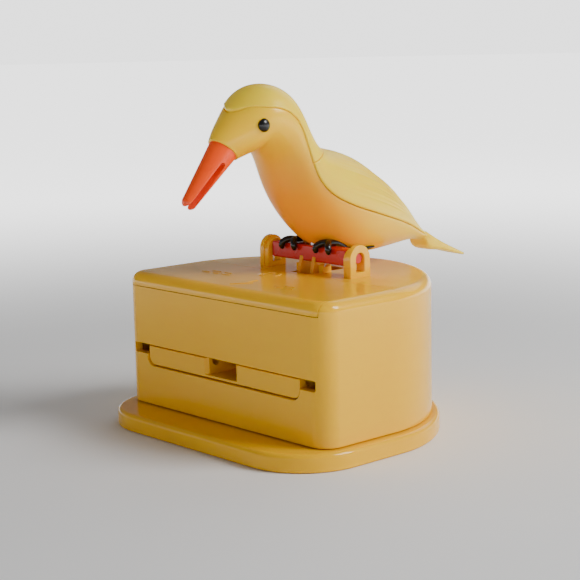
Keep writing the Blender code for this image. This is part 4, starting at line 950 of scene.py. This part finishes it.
def makeEye(node, name, way):
    # a domed bead with a turned-in rim, standing a little out of the head
    s = eyeSizes
    low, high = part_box(node)
    middle = (low + high) / 2
    profile = [(s["radius"] * share, height) for share, height in s["stem"]]
    turns = [math.pi / 2 * i / 20 for i in range(1, 20)]
    profile += [(s["radius"] * math.cos(t), s["dome"] * math.sin(t)) for t in turns]
    loops = []
    for radius, height in profile:
        loops.append([middle + Vector((way * (height + s["out"]), radius * math.cos(a), radius * math.sin(a)))
                      for a in (2 * math.pi * i / 40 for i in range(40))])
    eye = rings(name, loops)
    smoothShade(eye, 50, False)
    return place(eye, "bird", "black_plastic", eyeBlack, node)


footSizes = {"spread": 6.4 * mm, "toe": 0.8 * mm, "splay": 2.2 * mm, "barGap": 0.12 * mm, "voxel": 0.11 * mm,
             # how far out, back and down each bend of the rear toe lies
             "rear": ((0.0, 2.4 * mm, 0.25 * mm), (0.2 * mm, 4.4 * mm, 1.35 * mm),
                      (0.6 * mm, 6.1 * mm, 2.25 * mm)),
             # thickness at each bend, as shares of the toe's
             "rearWidths": (1.12, 1.0, 0.95, 0.85, 0.7, 0.35), "frontWidths": (1.1, 1.1, 1.08, 0.92),
             # share of the splay, more splay, then how far back and down each bend of a front toe lies
             "front": ((0.55, 0.0, 1.0 * mm, -0.05 * mm), (1.0, 0.0, -0.02 * mm, 0.8 * mm),
                       (1.0, 0.15 * mm, -0.02 * mm, 1.85 * mm)),
             # where the rear toe lies along the belly: place on the skin, angle and height
             "belly": ((9.35, 141, 0.5 * mm), (9.6, 137, 0.25 * mm))}


def limb(name, points, radii, steps=20, perPoint=8):     # a round-ended tube along a smooth curve
    roundEnd = ((0.95, 0.3), (0.7, 0.71))
    columns = [[p[i] for p in points] for i in range(3)] + [radii]
    curves = [bends(c) for c in columns]
    total = (len(points) - 1) * perPoint
    path = []
    for i in range(total + 1):
        values = [splineAt(c, k, i / perPoint) for c, k in zip(columns, curves)]
        path.append((Vector(values[:3]), values[3]))
    loops = []
    for i, (spot, radius) in enumerate(path):
        way = (path[min(i + 1, total)][0] - path[max(i - 1, 0)][0]).normalized()
        side = way.cross(Vector((0.3, 0.2, 1))).normalized()
        up = side.cross(way)
        ends = [(0.0, 1.0)]
        if i == 0:
            ends = [(-ahead, share) for ahead, share in roundEnd] + ends
        if i == total:
            ends += roundEnd[::-1]
        for ahead, share in ends:
            middle = spot + way * (radius * ahead)
            loops.append([middle + (side * math.cos(a) + up * math.sin(a)) * (radius * share)
                          for a in (2 * math.pi * k / steps for k in range(steps))])
    return rings(name, loops)


def makeFoot(node, name, way):
    s = footSizes
    middle = way * s["spread"]
    r = s["toe"]
    side = barSizes["side"] / 2 + s["barGap"]
    top, front = perchZ + side + r, perchY - side - r
    knuckle = Vector((middle, perchY - 0.5 * mm, top + 0.05 * mm))
    rear = [knuckle]
    rear += [Vector((middle + way * out, perchY + back, top - down)) for out, back, down in s["rear"]]
    rear += [birdSkin.point(at, way * math.radians(angle), height) for at, angle, height in s["belly"]]
    parts = [limb(name, rear, [r * share for share in s["rearWidths"]])]
    for toe in (-1, 1):
        points = [knuckle]
        points += [Vector((middle + toe * (share * s["splay"] + more), front + back, top - down))
                   for share, more, back, down in s["front"]]
        parts.append(limb("tool", points, [r * share for share in s["frontWidths"]]))
    foot = parts[0]
    bm = bmesh.new()
    for part in parts:
        bm.from_mesh(part.data)
    bm.to_mesh(foot.data)
    bm.free()
    for part in parts[1:]:
        bpy.data.objects.remove(part, do_unlink=True)
    melt = foot.modifiers.new("melt", "REMESH")
    melt.mode = "VOXEL"
    melt.voxel_size = s["voxel"]
    relax = foot.modifiers.new("relax", "SMOOTH")
    relax.factor = 0.5
    relax.iterations = 6
    settle(foot)
    smoothShade(foot, 80, False)
    return place(foot, "bird", "black_plastic", eyeBlack, node)


makeBeak()
makeTail()
makeEye("eye_left", "eyeLeft", 1)
makeEye("eye_right", "eyeRight", -1)
makeFoot("foot_left", "footLeft", 1)
makeFoot("foot_right", "footRight", -1)
print("beak, tail, eyes and feet made")


screwSizes = {"head": 2.9 * mm, "headHigh": 1.8 * mm, "shank": 1.3 * mm, "short": 1.9 * mm, "taper": 0.8,
              "crossWide": 0.2, "crossHigh": 1.1, "crossDrop": -0.55, "overlap": 0.4 * mm}


def screwTree():
    # a cross-recessed pan-head screw set upside down on each point
    s = screwSizes
    tree, wires = startTree("baseScrews", ("Geometry", "Geometry"), ("Head Radius", "Float"),
                            ("Head Height", "Float"), ("Shank Radius", "Float"), ("Shank Length", "Float"),
                            ("Finish", "Material"))
    points, headRadius, headHeight, shankRadius, shankLength, finish = wires
    head = points.make("GeometryNodeMeshCone", {},
                       {"Vertices": 40, "Radius Top": headRadius, "Radius Bottom": headRadius * s["taper"],
                        "Depth": headHeight})
    shank = points.make("GeometryNodeMeshCylinder", {},
                        {"Vertices": 24, "Radius": shankRadius, "Depth": shankLength})
    lift = points.make("ShaderNodeCombineXYZ", {}, {"Z": headHeight + shankLength / 2 - s["overlap"]})
    shank = shank.make("GeometryNodeTransform", {}, {"Geometry": shank, "Translation": lift})
    cut = points.make("GeometryNodeMeshBoolean", {"operation": "DIFFERENCE", "solver": "EXACT"},
                      {"Mesh 1": head})
    drop = points.make("ShaderNodeCombineXYZ", {}, {"Z": headHeight * s["crossDrop"]})
    for long, wide in ((1.0, s["crossWide"]), (s["crossWide"], 1.0)):
        size = points.make("ShaderNodeCombineXYZ", {}, {"X": headRadius * long, "Y": headRadius * wide,
                                                        "Z": headHeight * s["crossHigh"]})
        blade = points.make("GeometryNodeMeshCube", {}, {"Size": size})
        moved = blade.make("GeometryNodeTransform", {}, {"Geometry": blade, "Translation": drop})
        tree.links.new(moved.socket, cut.socket.node.inputs["Mesh 2"])
    whole = Wire(tree, tree.nodes.new("GeometryNodeJoinGeometry").outputs[0])
    for piece in (cut, shank):
        tree.links.new(piece.socket, whole.socket.node.inputs[0])
    screws = points.make("GeometryNodeInstanceOnPoints", {}, {"Points": points, "Instance": whole})
    return endTree(tree, screws, finish)


def makeScrews():
    s = screwSizes
    low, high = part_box("base_screw_1")
    screws = meshFrom("baseScrews", [(x, y, low.z + s["headHigh"] / 2) for x, y in screwSpots()], [])
    growFromTree(screws, screwTree(),
                 {"Head Radius": s["head"], "Head Height": s["headHigh"], "Shank Radius": s["shank"],
                  "Shank Length": high.z - low.z - s["short"], "Finish": zincSteel})
    smoothShade(screws, 35, False)
    place(screws, "case", "steel", zincSteel, "base_screw_1", "base_screw_2", "base_screw_3", "base_screw_4")


makeScrews()
print("screws made")


viewSizes = {"spot": (281.47, -253.97, 98.82), "azimuth": 48.136, "elevation": 9.617, "roll": -1.2305,
             "lens": 93.59}


def makeCamera():
    a, e, r = [math.radians(viewSizes[k]) for k in ("azimuth", "elevation", "roll")]
    back = Vector((math.sin(a) * math.cos(e), -math.cos(a) * math.cos(e), math.sin(e)))
    right = Vector((math.cos(a), math.sin(a), 0))
    up = back.cross(right)
    across = right * math.cos(r) + up * math.sin(r)
    over = up * math.cos(r) - right * math.sin(r)
    data = bpy.data.cameras.new("viewCamera")
    data.lens = viewSizes["lens"]
    data.sensor_width = 36.0
    data.clip_start, data.clip_end = 0.01, 20.0
    camera = bpy.data.objects.new("viewCamera", data)
    turn = Matrix((across, over, back)).transposed().to_4x4()
    camera.matrix_world = Matrix.Translation(Vector(viewSizes["spot"]) * mm) @ turn
    bpy.context.scene.collection.objects.link(camera)
    bpy.context.scene.camera = camera


def softLight(name, spot, aim, size, power):
    data = bpy.data.lights.new(name, "AREA")
    data.shape = "RECTANGLE"
    data.size, data.size_y = size
    data.energy = power
    light = bpy.data.objects.new(name, data)
    spot, aim = Vector(spot), Vector(aim)
    light.matrix_world = Matrix.Translation(spot) @ (aim - spot).to_track_quat("-Z", "Y").to_matrix().to_4x4()
    bpy.context.scene.collection.objects.link(light)


studio = {"sky": (0.20, 0.20, 0.20), "far": (2.3, 2.3, 2.3), "fade": (0.12, 0.60), "horizon": (0.03, 0.12),
          "floor": (0.90, 0.90, 0.90), "floorLight": (0.927, 0.927, 0.927), "floorRadius": 6.0,
          "key": {"spot": (0.52, 0.30, 0.50), "aim": (0, 0, 0.03), "size": (0.32, 0.32), "power": 5.6},
          "back": {"spot": (-0.20, 0.60, 0.45), "aim": (0, 0, 0.04), "size": (0.6, 0.4), "power": 0.9}}


def makeStudio():
    # a round pale floor that brightens with distance until it meets the bright horizon
    edge = circle((0, 0), studio["floorRadius"], 96)
    floor = prismZ("studioFloor", edge, -0.01, -0.0001)
    finish, tree, shader = startFinish("paleFloor")
    spot = objectSpot(tree)
    grain = noiseOn(spot, 30.0)
    feed(tree, shader, "Base Color", grain.mix(rgba(studio["floor"]), rgba(studio["floorLight"])))
    reach = spot.make("ShaderNodeVectorMath", {"operation": "LENGTH"}, {0: spot}, 1).between(*studio["fade"])
    feed(tree, shader, "Emission Color", reach.mix((0, 0, 0, 1), rgba(studio["far"])))
    shader.inputs["Emission Strength"].default_value = 1.0
    shader.inputs["Roughness"].default_value = 0.7
    floor.data.materials.append(finish)
    world = bpy.data.worlds.new("studioWorld")
    world.use_nodes = True
    sky = Wire(world.node_tree).make("ShaderNodeTexCoord")
    height = sky.make("ShaderNodeSeparateXYZ", {}, {0: sky}, 2).between(*studio["horizon"])
    tone = height.mix(rgba(studio["far"]), rgba(studio["sky"]))
    glow = world.node_tree.nodes["Background"]
    world.node_tree.links.new(tone.socket, glow.inputs[0])
    glow.inputs[1].default_value = 1.0
    bpy.context.scene.world = world
    softLight("keyLight", **studio["key"])
    softLight("backLight", **studio["back"])


makeStudio()
makeCamera()
print("scene ready")
